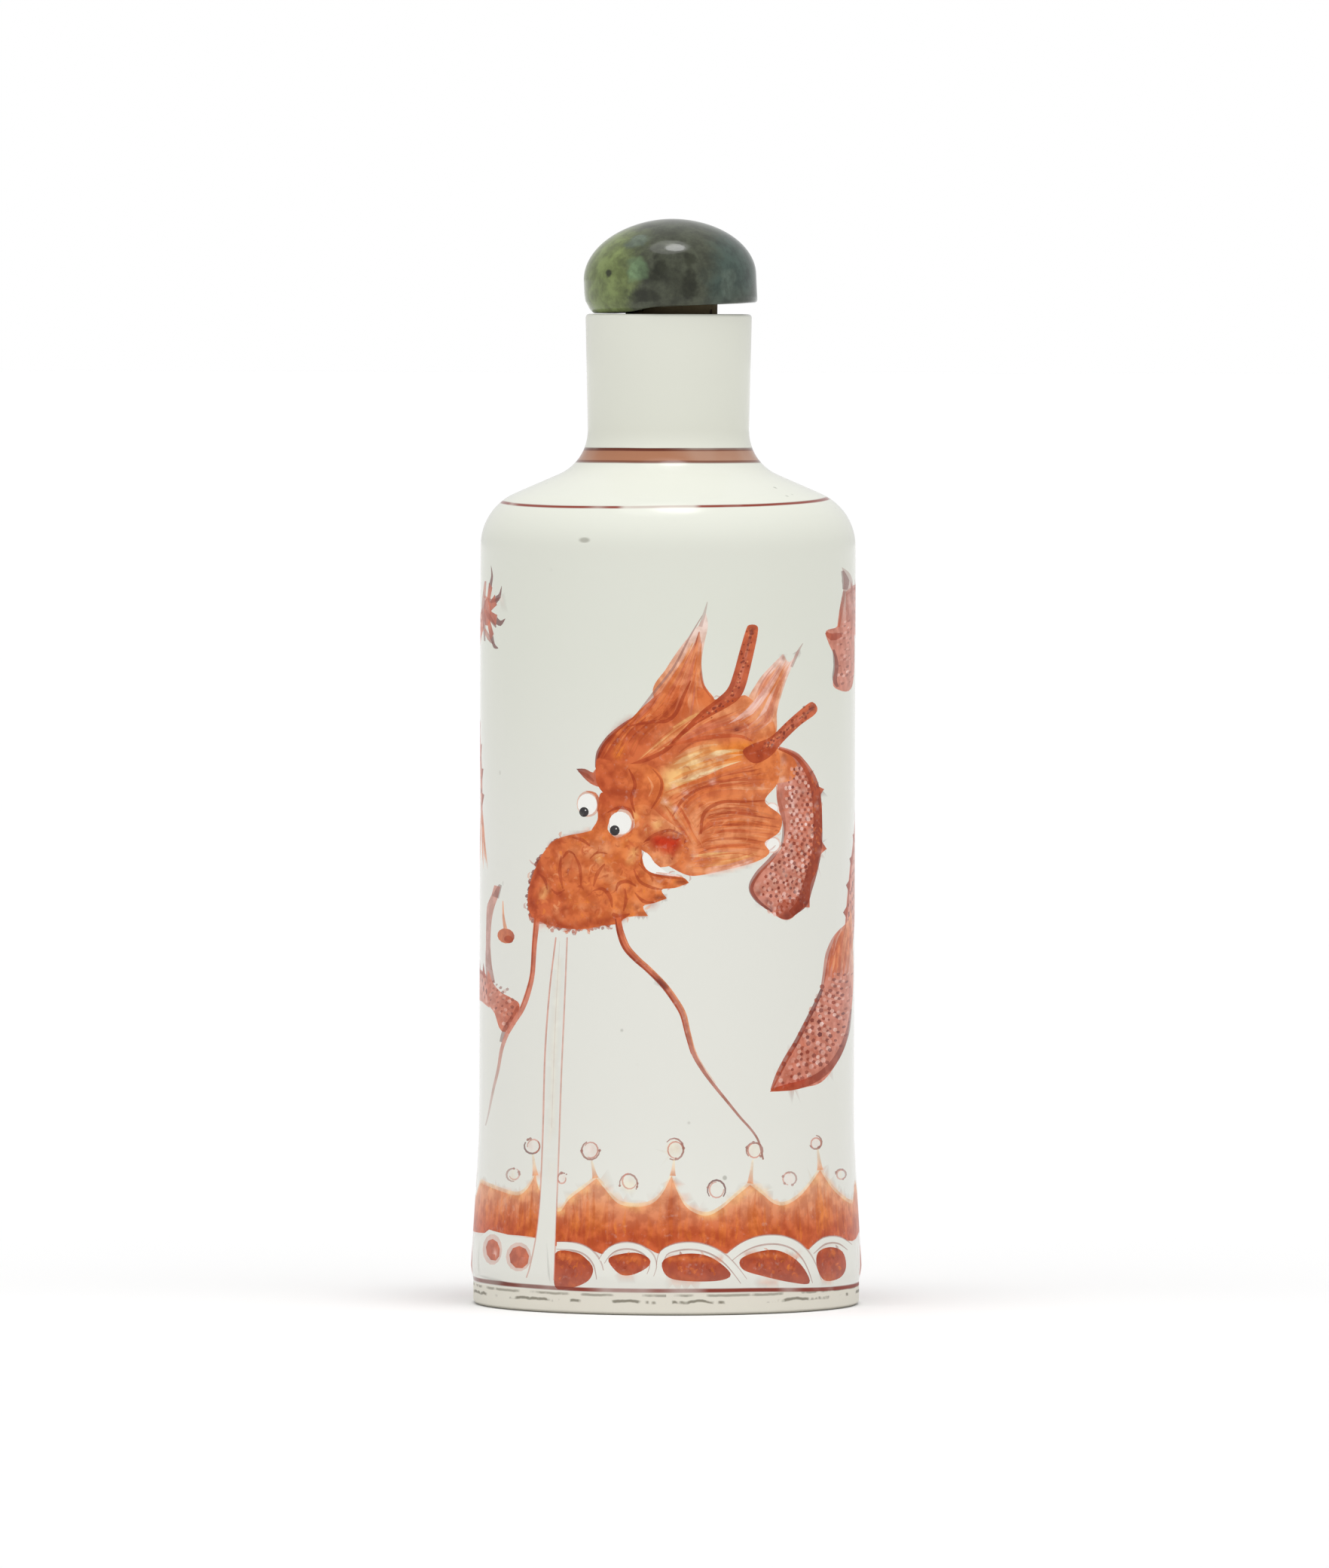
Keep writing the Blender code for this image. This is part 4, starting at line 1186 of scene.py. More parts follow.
def water(painter):
    """The stream that falls from the muzzle through the waves."""
    painter.area([(-8.9, 29), (-9.4, 25), (-9.75, 20), (-9.9, 14), (-10.1, 9), (-10.4, 5.6), (-10.9, 3),
        (-11.3, 1.9), (-11.3, 1.9), (-9, 1.5), (-9, 1.5), (-8.95, 3), (-8.85, 6), (-8.65, 11.5),
        (-8.45, 18), (-8.2, 24), (-8, 29)], "cream", 1, ((-9.5, 20), (-8.6, 20)), wipes=True)
    painter.stroke([(-8.9, 29.3), (-9.4, 25), (-9.75, 20), (-9.9, 14), (-10.1, 9), (-10.4, 5.6),
        (-10.9, 3), (-11.2, 2)], (0.12, 0.14, 0.14, 0.12, 0.1), "rose", (0.7, 0.55))
    painter.stroke([(-8, 29.3), (-8.2, 24), (-8.45, 18), (-8.65, 11.5), (-8.85, 6), (-8.95, 3), (-9, 1.8)],
        (0.12, 0.13, 0.13, 0.12, 0.1), "rose", (0.6, 0.55))
    painter.glow([(-8.7, 27.5), (-9, 21), (-9.2, 15), (-9.35, 10)], 0.5, "straw", 0.14)
    painter.stroke([(-8.6, 29), (-8.95, 22), (-9.2, 14)], (0.05, 0.08, 0.05), "mauve", 0.18)


# How many claws a foot has and flames a joint, and how wide they fan out, in degrees
CLAWS = 4
CLAW_FAN = 120
FLAMES = 4
FLAME_GAP = 17


def headed(degrees):
    """The unit vectors ahead and to the left of a heading."""
    turn = math.radians(degrees)
    return np.array([math.cos(turn), math.sin(turn)]), np.array([-math.sin(turn), math.cos(turn)])


def claw(painter, palm, reach, heading):
    """A foot with curved claws that fan out from its palm."""
    painter.dot(palm, reach * 0.34, ("red", "brick"), 0.9, 0.9, heading, 12)
    for n in range(CLAWS):
        ahead, side = headed(heading + CLAW_FAN * (n / (CLAWS - 1) - 0.5))
        base = np.asarray(palm, float) + ahead * reach * 0.25
        joint = base + ahead * reach * 0.42
        tip = joint + ahead * reach * 0.4 + side * reach * 0.16
        painter.stroke([base, joint], (reach * 0.2, reach * 0.26), ("red", "brick"), 0.9)
        painter.stroke([joint, joint + ahead * reach * 0.22, tip], (reach * 0.17, reach * 0.12, 0.03),
            "plum", 0.85)


def flames(painter, root, heading, reach):
    """Thin flames that stream from a joint of the dragon."""
    chance = painter.chance
    for n in range(FLAMES):
        ahead, side = headed(heading + (n - (FLAMES - 1) / 2) * FLAME_GAP + chance.normal(0, 4))
        size = reach * chance.uniform(0.7, 1.15)
        root = np.asarray(root, float)
        points = [root, root + ahead * size * 0.4 + side * size * 0.1, root + ahead * size * 0.75,
            root + ahead * size + side * size * 0.12]
        painter.stroke(points, (0.35, 0.55, 0.3, 0.04), ("red", "peach"), (0.85, 0.6))


def seen_sides(front):
    """The coil of the dragon's body at the lower right: smooth above, scaled below, with a red belly."""
    coil = [(14.72, 31.6), (14.5, 30.74), (13.6, 29.57), (12.95, 28.05), (12.66, 26.41), (12.43, 25),
        (11.84, 23.83), (11.14, 22.42), (10.32, 20.78), (9.5, 19.38), (8.8, 17.97), (8.26, 16.96),
        (8.26, 16.96), (9.38, 17.03), (11.02, 17.31), (12.43, 17.78), (13.6, 19.26), (14.31, 20.78),
        (14.66, 22.66), (14.86, 24.53), (14.92, 27.58)]
    front.area(coil, ("peach", "rose"), (0.7, 0.97), ((14.4, 31), (13.6, 27.6)))
    front.clouds(coil, 30, 0.6, ("red", "rose", "brick", "blush"), 0.45)
    front.hair([(14, 30.4), (13.2, 29), (12.8, 27), (12.7, 25.6)], [(14.75, 30.6), (14.7, 28.6),
        (14.5, 26.4), (14.3, 25.4)], 34, ("red", "orange", "peach", "brick"), 0.75, (0.15, 0.35))
    scales(front, [(13.95, 26.4), (13.6, 24.7), (12.95, 22.89), (12.2, 21.25), (11.26, 19.61),
        (10.2, 18.4), (9.3, 17.6)], (0.9, 1.35, 1.65, 1.6, 1.35, 0.95, 0.3), 0.58, 0.85, 0.75)
    front.stroke([(14.3, 30.4), (13.4, 29.4), (12.85, 28), (12.6, 26.4), (12.35, 25)],
        (0.05, 0.2, 0.35, 0.3, 0.2), ("red", "brick"), 0.7)
    front.stroke([(12.4, 25.2), (11.84, 23.9), (11.14, 22.5), (10.32, 20.9), (9.5, 19.5), (8.8, 18.1),
        (8.4, 17.1)], (0.25, 0.32, 0.34, 0.36, 0.4, 0.4, 0.2), ("plum", "brick"), 0.85)
    for x, y in ((12.5, 25.4), (12.05, 24.3), (11.6, 23.3), (11.2, 22.4), (10.75, 21.6), (10.3, 20.7),
                 (9.9, 20), (9.45, 19.2), (9.05, 18.4)):
        front.dot((x - 0.08, y), 0.2, ("plum", "brick"), 0.8, 1, 0, 7)
    front.stroke([(8.35, 17.12), (9.62, 17.3), (11.02, 17.65), (12.43, 18.4), (13.6, 19.7), (14.42, 21.6),
        (14.75, 23.6)], (0.2, 0.6, 0.62, 0.55, 0.42, 0.3, 0.1), ("brick", "plum"), (0.97, 0.6))
    front.glow([(8.9, 17.4), (11, 17.9)], 0.45, "scarlet", 0.3)


def limbs(front):
    """The limb at the upper right, and the claws and coil at the left."""
    stroke = front.stroke
    front.area([(13.9, 59), (13.9, 59), (14.05, 57.6), (13.75, 55.6), (13.6, 54.3), (12.85, 54),
        (12.6, 53.7), (12.9, 52.8), (13.3, 51.9), (13.35, 50.8), (13.2, 49.9), (13.4, 49.3), (14.5, 49.1),
        (14.9, 50.5), (14.9, 54.5), (14.75, 58)], ("mauve", "rose"), (0.5, 0.95), ((14.2, 58.4),
        (13.9, 54.4)))
    scales(front, [(14.2, 54.6), (14.1, 53), (14.15, 51.4), (14.1, 49.8)], (0.3, 0.7, 0.6, 0.6), 0.5, 0.6,
        0.6)
    stroke([(13.95, 58.7), (14.2, 57.9), (14.15, 57.2)], (0.2, 0.6, 0.4), "plum", 0.6)
    stroke([(14.1, 57.1), (13.8, 55.2), (13.65, 54.2)], (0.2, 0.3, 0.2), ("mauve", "red"), 0.9)
    stroke([(12.65, 53.75), (13.1, 53.4), (13.9, 53.6)], (0.2, 0.65, 0.3), "brick", 0.8)
    stroke([(13.25, 52.4), (13.45, 51.2), (13.35, 50), (13.6, 49.4)], (0.15, 0.42, 0.42, 0.2), "plum",
        0.65)
    # Upper left: the claws of a foot that reaches round from the back
    for points in ([(-14.6, 57.8), (-14.75, 56), (-14.7, 54.4), (-14.65, 53)],
                   [(-14.7, 55.6), (-14.2, 54.8), (-13.75, 54.1)],
                   [(-14.65, 54), (-14.3, 53.2), (-14, 52.8)],
                   [(-14.7, 56.6), (-14.1, 56.2), (-13.4, 56.5)]):
        stroke(points, (0.14, 0.34, 0.1), ("red", "plum"), 0.7)
    front.glow([(-13.3, 56.2)], 0.6, "blush", 0.6)
    # Left: the thin tail, its tuft and a scaled coil
    stroke([(-13.6, 33.4), (-13.8, 32.6), (-14.15, 31.6), (-14.3, 29.8), (-14.3, 27.4), (-14.1, 25.6)],
        (0.5, 0.6, 0.4, 0.35, 0.5, 0.7), ("rose", "mauve"), (0.75, 0.85))
    stroke([(-13.35, 33.5), (-13.75, 32.5)], (0.25, 0.6), "plum", 0.5)
    stroke([(-13.15, 32.2), (-13.1, 30.9), (-12.95, 30)], (0.06, 0.16, 0.3), "peach", 0.8)
    front.dot((-12.9, 29.4), 0.7, ("brick", "orange"), 0.92, 0.85, -20, 14)
    front.dot((-12.68, 29.12), 0.38, "brick", 0.8, 0.8, -20, 10)
    front.glow([(-13.15, 29.65)], 0.3, "amber", 0.7)
    coil = [(-14.35, 26.6), (-13.9, 25.6), (-13.3, 24.9), (-12.4, 24.4), (-11.8, 23.9), (-12.1, 22.7),
        (-12.9, 21.7), (-13.4, 22), (-13.8, 23.2), (-14.35, 24.2)]
    front.area(coil, ("rose", "red"), 0.9, ((-14.2, 25.4), (-12.3, 23.2)))
    scales(front, [(-14.2, 25.6), (-13.5, 24.4), (-12.9, 23.3), (-12.8, 22.3)], (0.4, 0.8, 0.8, 0.3), 0.48,
        0.6, 0.6)
    stroke([(-11.9, 23.8), (-12.3, 22.9), (-12.9, 21.9), (-13.3, 20.9)], (0.2, 0.4, 0.5, 0.2),
        ("brick", "plum"), 0.6)


def back_view(painter):
    """The rest of the dragon, which winds round the back: coils, limbs, claws, flames and tail."""
    for root, heading, reach in (
        ((27.5, 41), 60, 5), ((52, 24), 120, 4.2), ((63.5, 55), 75, 4), ((38.5, 51.5), 35, 4),
        ((44, 30), 10, 4),
    ):
        flames(painter, root, heading, reach)
    for leg, palm, heading in (
        ([(33, 37), (30.4, 33.4), (31.4, 30.4)], (31.6, 29.4), -80),
        ([(64.5, 52.5), (69, 53), (73.6, 55)], (74.8, 55.4), 5),
        ([(57, 22), (59, 27), (57, 30.5)], (56.6, 31.6), 105),
    ):
        painter.stroke(leg, (3.2, 2.4, 1.7), ("rose", "red"), 0.95)
        scales(painter, leg, (1.2, 1, 0.7), 0.8)
        claw(painter, palm, 3.6, heading)
    edge = scaled_body(painter, [(18.6, 55.4), (22.5, 55.6), (28, 54.6), (33.5, 51.4), (39, 48.8),
        (45, 48), (52, 49.6), (58, 51.2), (64, 50.8), (69, 47.6), (72.2, 43), (73, 38.4)],
        (3.4, 4.4, 4.8, 4.8, 4.6, 4.4, 4, 3.6, 3, 2.3, 1.5, 0.7))
    fins(painter, edge, 0.85, 1.9)
    painter.hair([(72.4, 39.6), (71.6, 37), (70.6, 34.6)], [(73.6, 39.6), (74.4, 37.2), (75.6, 34.8)], 16,
        ("red", "orange", "peach"), 0.85, (0.3, 0.6), (0.6, 1))
    edge = scaled_body(painter, [(19.6, 29), (22.5, 34.2), (27, 38.6), (33, 40.2), (38.5, 37.4), (42, 32),
        (44.5, 26.6), (49, 22.2), (55, 20.6), (60.6, 22.2), (65, 24.4), (69, 25.4), (73, 25.5), (76, 25)],
        (2.6, 5.2, 6, 6.2, 6, 5.6, 5.2, 4.8, 4.2, 3.8, 3.4, 3, 2.6, 2.3))
    fins(painter, edge, 0.95, 2.1)


def wall_marks(wall, colours, stage):
    """All the marks of the painting, in the order that they are laid."""
    marks = []
    front = Painter(colours, marks, FrontView(wall, stage.distance, stage.camera_height), 11)
    around = Painter(colours, marks, as_placed, 23)
    back_view(around)
    waves(around, front.place)
    ripples(front, around)
    foam_rings(front, around)
    water(front)
    seen_sides(front)
    limbs(front)
    neck_arc(front)
    head(front)
    whiskers(front)
    return marks


def with_wraps(marks):
    """Each mark with how far round the wall it is moved, and copies of those that cross the back."""
    result = []
    for mark in marks:
        for turn in (-2 * HALF_ROUND, 0.0, 2 * HALF_ROUND):
            if mark.high[0] + turn > -HALF_ROUND and mark.low[0] + turn < HALF_ROUND:
                result.append((mark, np.array([turn, 0.0])))
    return result


def ground_points(wall):
    """Points over the whole wall, closer together where the painting has soft changes."""
    zones = (
        (-HALF_ROUND, HALF_ROUND, wall.low, wall.high, 1.0, 1.6),
        (-11.8, 12.6, 29.4, 52.6, 0.36, 0.31),
        (-HALF_ROUND, HALF_ROUND, wall.low, 11.0, 0.7, 0.6),
    )
    points = []
    for left, right, low, high, gap, rise in zones:
        rows = max(1, round((high - low) / rise))
        for row in range(1, rows):
            z = low + (high - low) * row / rows
            shift = gap / 2 if row % 2 else 0.0
            across = np.arange(left + gap / 2 + shift, right - gap / 4, gap)
            points += [(u, z) for u in across]
    return points


def cut_wall(wall, marks, segments):
    """Cuts the unrolled wall into triangles whose edges follow every mark's outline."""
    ring = np.linspace(-HALF_ROUND, HALF_ROUND, segments + 1)
    rows = np.linspace(wall.low, wall.high, SEAM_STEPS)
    border = [(u, wall.low) for u in ring]
    border += [(HALF_ROUND, z) for z in rows[1:-1]]
    border += [(u, wall.high) for u in ring[::-1]]
    border += [(-HALF_ROUND, z) for z in rows[::-1][1:-1]]
    points = list(border)
    edges = [(n, (n + 1) % len(border)) for n in range(len(border))]
    for mark, turn in with_wraps(marks):
        if mark.outline is None:
            continue
        outline = mark.outline + turn
        outline[:, 1] = np.clip(outline[:, 1], wall.low + END_MARGIN, wall.high - END_MARGIN)
        first = len(points)
        points += [tuple(place) for place in outline]
        edges += [(first + n, first + (n + 1) % len(outline)) for n in range(len(outline))]
    points += ground_points(wall)
    cut = delaunay_2d_cdt([Vector(place) for place in points], edges, [], 0, 1e-4, False)
    places = np.array([tuple(place) for place in cut[0]])
    faces = np.array(cut[2])
    middle = places[faces].mean(1)
    kept = (np.abs(middle[:, 0]) < HALF_ROUND) & (middle[:, 1] > wall.low) & (middle[:, 1] < wall.high)
    a, b, c = (places[faces[:, n]] for n in range(3))
    area = (b[:, 0] - a[:, 0]) * (c[:, 1] - a[:, 1]) - (b[:, 1] - a[:, 1]) * (c[:, 0] - a[:, 0])
    faces = np.where((area > 0)[:, None], faces, faces[:, ::-1])
    return places, faces[kept & (np.abs(area) > 1e-9)]


def enamelled(places, faces, marks):
    """The enamel's colour and cover at each corner of each triangle."""
    corners = places[faces]
    middle = corners.mean(1)
    order = np.argsort(middle[:, 0])
    across = middle[order, 0]
    tone = np.zeros((len(faces), 3, 3))
    cover = np.zeros((len(faces), 3))
    for mark, turn in with_wraps(marks):
        low, high = mark.low + turn, mark.high + turn
        near = order[slice(*np.searchsorted(across, (low[0], high[0])))]
        near = near[(middle[near, 1] > low[1]) & (middle[near, 1] < high[1])]
        if mark.outline is not None and len(near):
            near = near[inside(middle[near] - turn, mark.outline)]
        if not len(near):
            continue
        colour, strength = mark.paint(corners[near] - turn)
        if mark.wipes:
            cover[near] *= 1 - strength
            continue
        under = cover[near] * (1 - strength)
        total = np.maximum(under + strength, 1e-6)
        share = (strength / total)[..., None]
        tone[near] = tone[near] * (1 - share) + colour * share
        cover[near] = under + strength
    return tone, cover


def painted_wall(wall, marks, segments):
    """The painted wall as a mesh object with its enamel."""
    places, faces = cut_wall(wall, marks, segments)
    tone, cover = enamelled(places, faces, marks)
    mesh = bpy.data.meshes.new("painted_wall")
    mesh.from_pydata(wall.positions(places).tolist(), [], faces.tolist())
    enamel = mesh.color_attributes.new("enamel", "FLOAT_COLOR", "CORNER")
    values = np.concatenate([tone, cover[..., None]], 2)
    enamel.data.foreach_set("color", values.astype(np.float32).ravel())
    painted = bpy.data.objects.new("painted_wall", mesh)
    bpy.context.scene.collection.objects.link(painted)
    return painted


def deselect_all():
    if bpy.context.object and bpy.context.object.mode != "OBJECT":
        bpy.ops.object.mode_set(mode="OBJECT")
    bpy.ops.object.select_all(action="DESELECT")


def drawn_profiles(name, profiles):
    """A new object of one vertex for each profile, extruded along it in edit mode."""
    deselect_all()
    bpy.ops.mesh.primitive_plane_add(size=MM)
    drawn = bpy.context.object
    drawn.name = name
    bpy.ops.object.mode_set(mode="EDIT")
    bpy.ops.mesh.select_all(action="SELECT")
    bpy.ops.mesh.merge(type="CENTER")
    at = Vector((0.0, 0.0, 0.0))
    shape = bmesh.from_edit_mesh(drawn.data)
    for profile in profiles:
        if len(shape.verts) > 1:
            shape = bmesh.from_edit_mesh(drawn.data)
            shape.select_flush(False)
            bpy.ops.mesh.select_all(action="DESELECT")
            shape.verts.new((0.0, 0.0, 0.0)).select = True
            bmesh.update_edit_mesh(drawn.data)
            at = Vector((0.0, 0.0, 0.0))
        start = Vector((profile[0].x, 0.0, profile[0].y))
        bpy.ops.transform.translate(value=start - at)
        for before, after in zip(profile, profile[1:]):
            step = after - before
            bpy.ops.mesh.extrude_vertices_move(TRANSFORM_OT_translate={"value": (step.x, 0.0, step.y)})
        at = Vector((profile[-1].x, 0.0, profile[-1].y))
        shape = bmesh.from_edit_mesh(drawn.data)
    return drawn


def spun(drawn, segments):
    """Spins the profile of the object in edit mode round the Z axis, and closes its poles."""
    bpy.ops.mesh.select_all(action="SELECT")
    bpy.ops.mesh.spin(
        steps=segments, angle=2 * math.pi, center=(0, 0, 0), axis=(0, 0, 1), use_auto_merge=True
    )
    bpy.ops.mesh.select_all(action="SELECT")
    bpy.ops.mesh.remove_doubles(threshold=1e-6)
    bpy.ops.mesh.select_all(action="SELECT")
    bpy.ops.mesh.normals_make_consistent(inside=False)
    bpy.ops.object.mode_set(mode="OBJECT")
    return drawn


def vertex_places(mesh):
    places = np.empty(len(mesh.vertices) * 3)
    mesh.vertices.foreach_get("co", places)
    return places.reshape(-1, 3)


# How much of its map a piece's outside takes up, from bottom to top
BOTTLE_OUTSIDE_SHARE = 0.87
STOPPER_OUTSIDE_SHARE = 0.98


def unrolled_map(mesh, profile, outside_share):
    """Lays the piece out on its map: round it from left to right, and along its profile upwards."""
    line = np.array([(point.x, point.y) for point in profile])
    runs = np.concatenate([[0], np.cumsum(run_lengths(line))])
    outside, share = outside_share
    split = runs[outside]
    along = np.where(
        runs <= split,
        runs / split * share,
        share + 0.01 + (runs - split) / (runs[-1] - split) * (0.99 - share),
    )
    points = vertex_places(mesh)
    flat = np.stack([np.hypot(points[:, 0], points[:, 1]), points[:, 2]], 1)
    up = np.empty(len(flat))
    start, run = line[:-1], np.diff(line, axis=0)
    square = np.maximum((run**2).sum(1), 1e-18)
    for first in range(0, len(flat), 4000):
        part = flat[first : first + 4000]
        gap = part[:, None, :] - start
        share_of_run = np.clip((gap * run).sum(2) / square, 0, 1)
        away = np.linalg.norm(gap - share_of_run[..., None] * run, axis=2)
        best = away.argmin(1)
        t = share_of_run[np.arange(len(part)), best]
        up[first : first + 4000] = along[best] * (1 - t) + along[best + 1] * t
    turn = np.arctan2(points[:, 0], -points[:, 1]) / (2 * math.pi)
    corner = np.empty(len(mesh.loops), np.int32)
    mesh.loops.foreach_get("vertex_index", corner)
    sizes = np.empty(len(mesh.polygons), np.int32)
    mesh.polygons.foreach_get("loop_total", sizes)
    face = np.repeat(np.arange(len(sizes)), sizes)
    middle = np.zeros((len(sizes), 2))
    np.add.at(middle, face, points[corner][:, :2])
    home = np.arctan2(middle[:, 0], -middle[:, 1]) / (2 * math.pi)
    across = turn[corner]
    across += np.round(home[face] - across)
    across = np.where(flat[corner][:, 0] < 1e-7, home[face], across)
    layer = mesh.uv_layers.get("OFBake") or mesh.uv_layers.new(name="OFBake")
    values = np.stack([0.5 + across * 0.998, 0.002 + up[corner] * 0.996], 1)
    layer.data.foreach_set("uv", values.astype(np.float32).ravel())


def only_material(piece, material):
    piece.data.materials.clear()
    piece.data.materials.append(material)


class Field:
    """A value or a colour of a material, for use in expressions. Each operator adds its node."""

    def __init__(self, finish, socket):
        self.finish = finish
        self.socket = socket

    def __add__(self, other):
        return self.finish.math("ADD", self, other)

    def __sub__(self, other):
        return self.finish.math("SUBTRACT", self, other)

    def __rsub__(self, other):
        return self.finish.math("SUBTRACT", other, self)

    def __mul__(self, other):
        return self.finish.math("MULTIPLY", self, other)

    def __truediv__(self, other):
        return self.finish.math("DIVIDE", self, other)

    __radd__ = __add__
    __rmul__ = __mul__


def socket_name(keyword):
    """The name of a shader's socket, from a keyword such as base_color."""
    return keyword.replace("_", " ").title().replace("Ior", "IOR")


class Finish:
    """The nodes of one material."""

    def __init__(self, name, **values):
        self.material = bpy.data.materials.new(name)
        self.material.use_nodes = True
        self.tree = self.material.node_tree
        self.shader = self.tree.nodes["Principled BSDF"]
        for socket, value in values.items():
            self.shader.inputs[socket_name(socket)].default_value = value
        self.coordinates = self.node("ShaderNodeTexCoord", output="Object")

    def node(self, kind, settings=None, inputs=None, output=0):
        """Adds a node: its settings first, then the values or links of its sockets."""
        made = self.tree.nodes.new(kind)
        for name, value in (settings or {}).items():
            setattr(made, name, value)
        for socket, value in (inputs or {}).items():
            self.connect(value, made.inputs[socket])
        return Field(self, made.outputs[output])

    def connect(self, value, socket):
        if isinstance(value, Field):
            self.tree.links.new(value.socket, socket)
        elif hasattr(value, "__len__") and len(socket.default_value) == 4:
            socket.default_value = (*value, 1.0)
        else:
            socket.default_value = value

    def math(self, operation, first, second=0.0):
        return self.node("ShaderNodeMath", {"operation": operation}, {0: first, 1: second})

    def vector(self, operation, first, second=(0.0, 0.0, 0.0), output=0):
        return self.node("ShaderNodeVectorMath", {"operation": operation}, {0: first, 1: second}, output)

    def mix(self, share, first, second, blend="MIX"):
        """Between two colours."""
        return self.node(
            "ShaderNodeMix",
            {"data_type": "RGBA", "blend_type": blend, "clamp_factor": True},
            {0: share, 6: first, 7: second},
            2,
        )

    def step(self, value, low, high, start=0.0, end=1.0):
        """Goes smoothly from `start` to `end` as a value goes from `low` to `high`."""
        return self.node(
            "ShaderNodeMapRange",
            {"interpolation_type": "SMOOTHSTEP"},
            {"Value": value, "From Min": low, "From Max": high, "To Min": start, "To Max": end},
        )

    def noise(self, scale, detail=3.0, stretch=(1.0, 1.0, 1.0), roughness=0.5):
        """Noise with its grain in repeats for each metre."""
        stretched = self.vector("MULTIPLY", self.coordinates, stretch)
        inputs = {"Vector": stretched, "Scale": scale, "Detail": detail, "Roughness": roughness}
        return self.node("ShaderNodeTexNoise", {}, inputs, "Fac")

    def cells(self, scale):
        """How far the surface is from the nearest of many scattered places, in repeats."""
        inputs = {"Vector": self.coordinates, "Scale": scale}
        return self.node("ShaderNodeTexVoronoi", {}, inputs, "Distance")

    def axes(self):
        """The three coordinates, each as a field."""
        parts = self.node("ShaderNodeSeparateXYZ", {}, {0: self.coordinates}).socket.node
        return [Field(self, parts.outputs[n]) for n in range(3)]

    def patch(self, place, size):
        """How far the surface is from a place, with 1 at the edge of an oval of those half sizes."""
        off = self.vector("DIVIDE", self.vector("SUBTRACT", self.coordinates, place), size)
        return self.vector("LENGTH", off, output="Value")

    def bump(self, height, strength, distance):
        inputs = {"Strength": strength, "Distance": distance, "Height": height}
        return self.node("ShaderNodeBump", {}, inputs)

    def set(self, **fields):
        for socket, value in fields.items():
            self.connect(value, self.shader.inputs[socket_name(socket)])
        return self.material


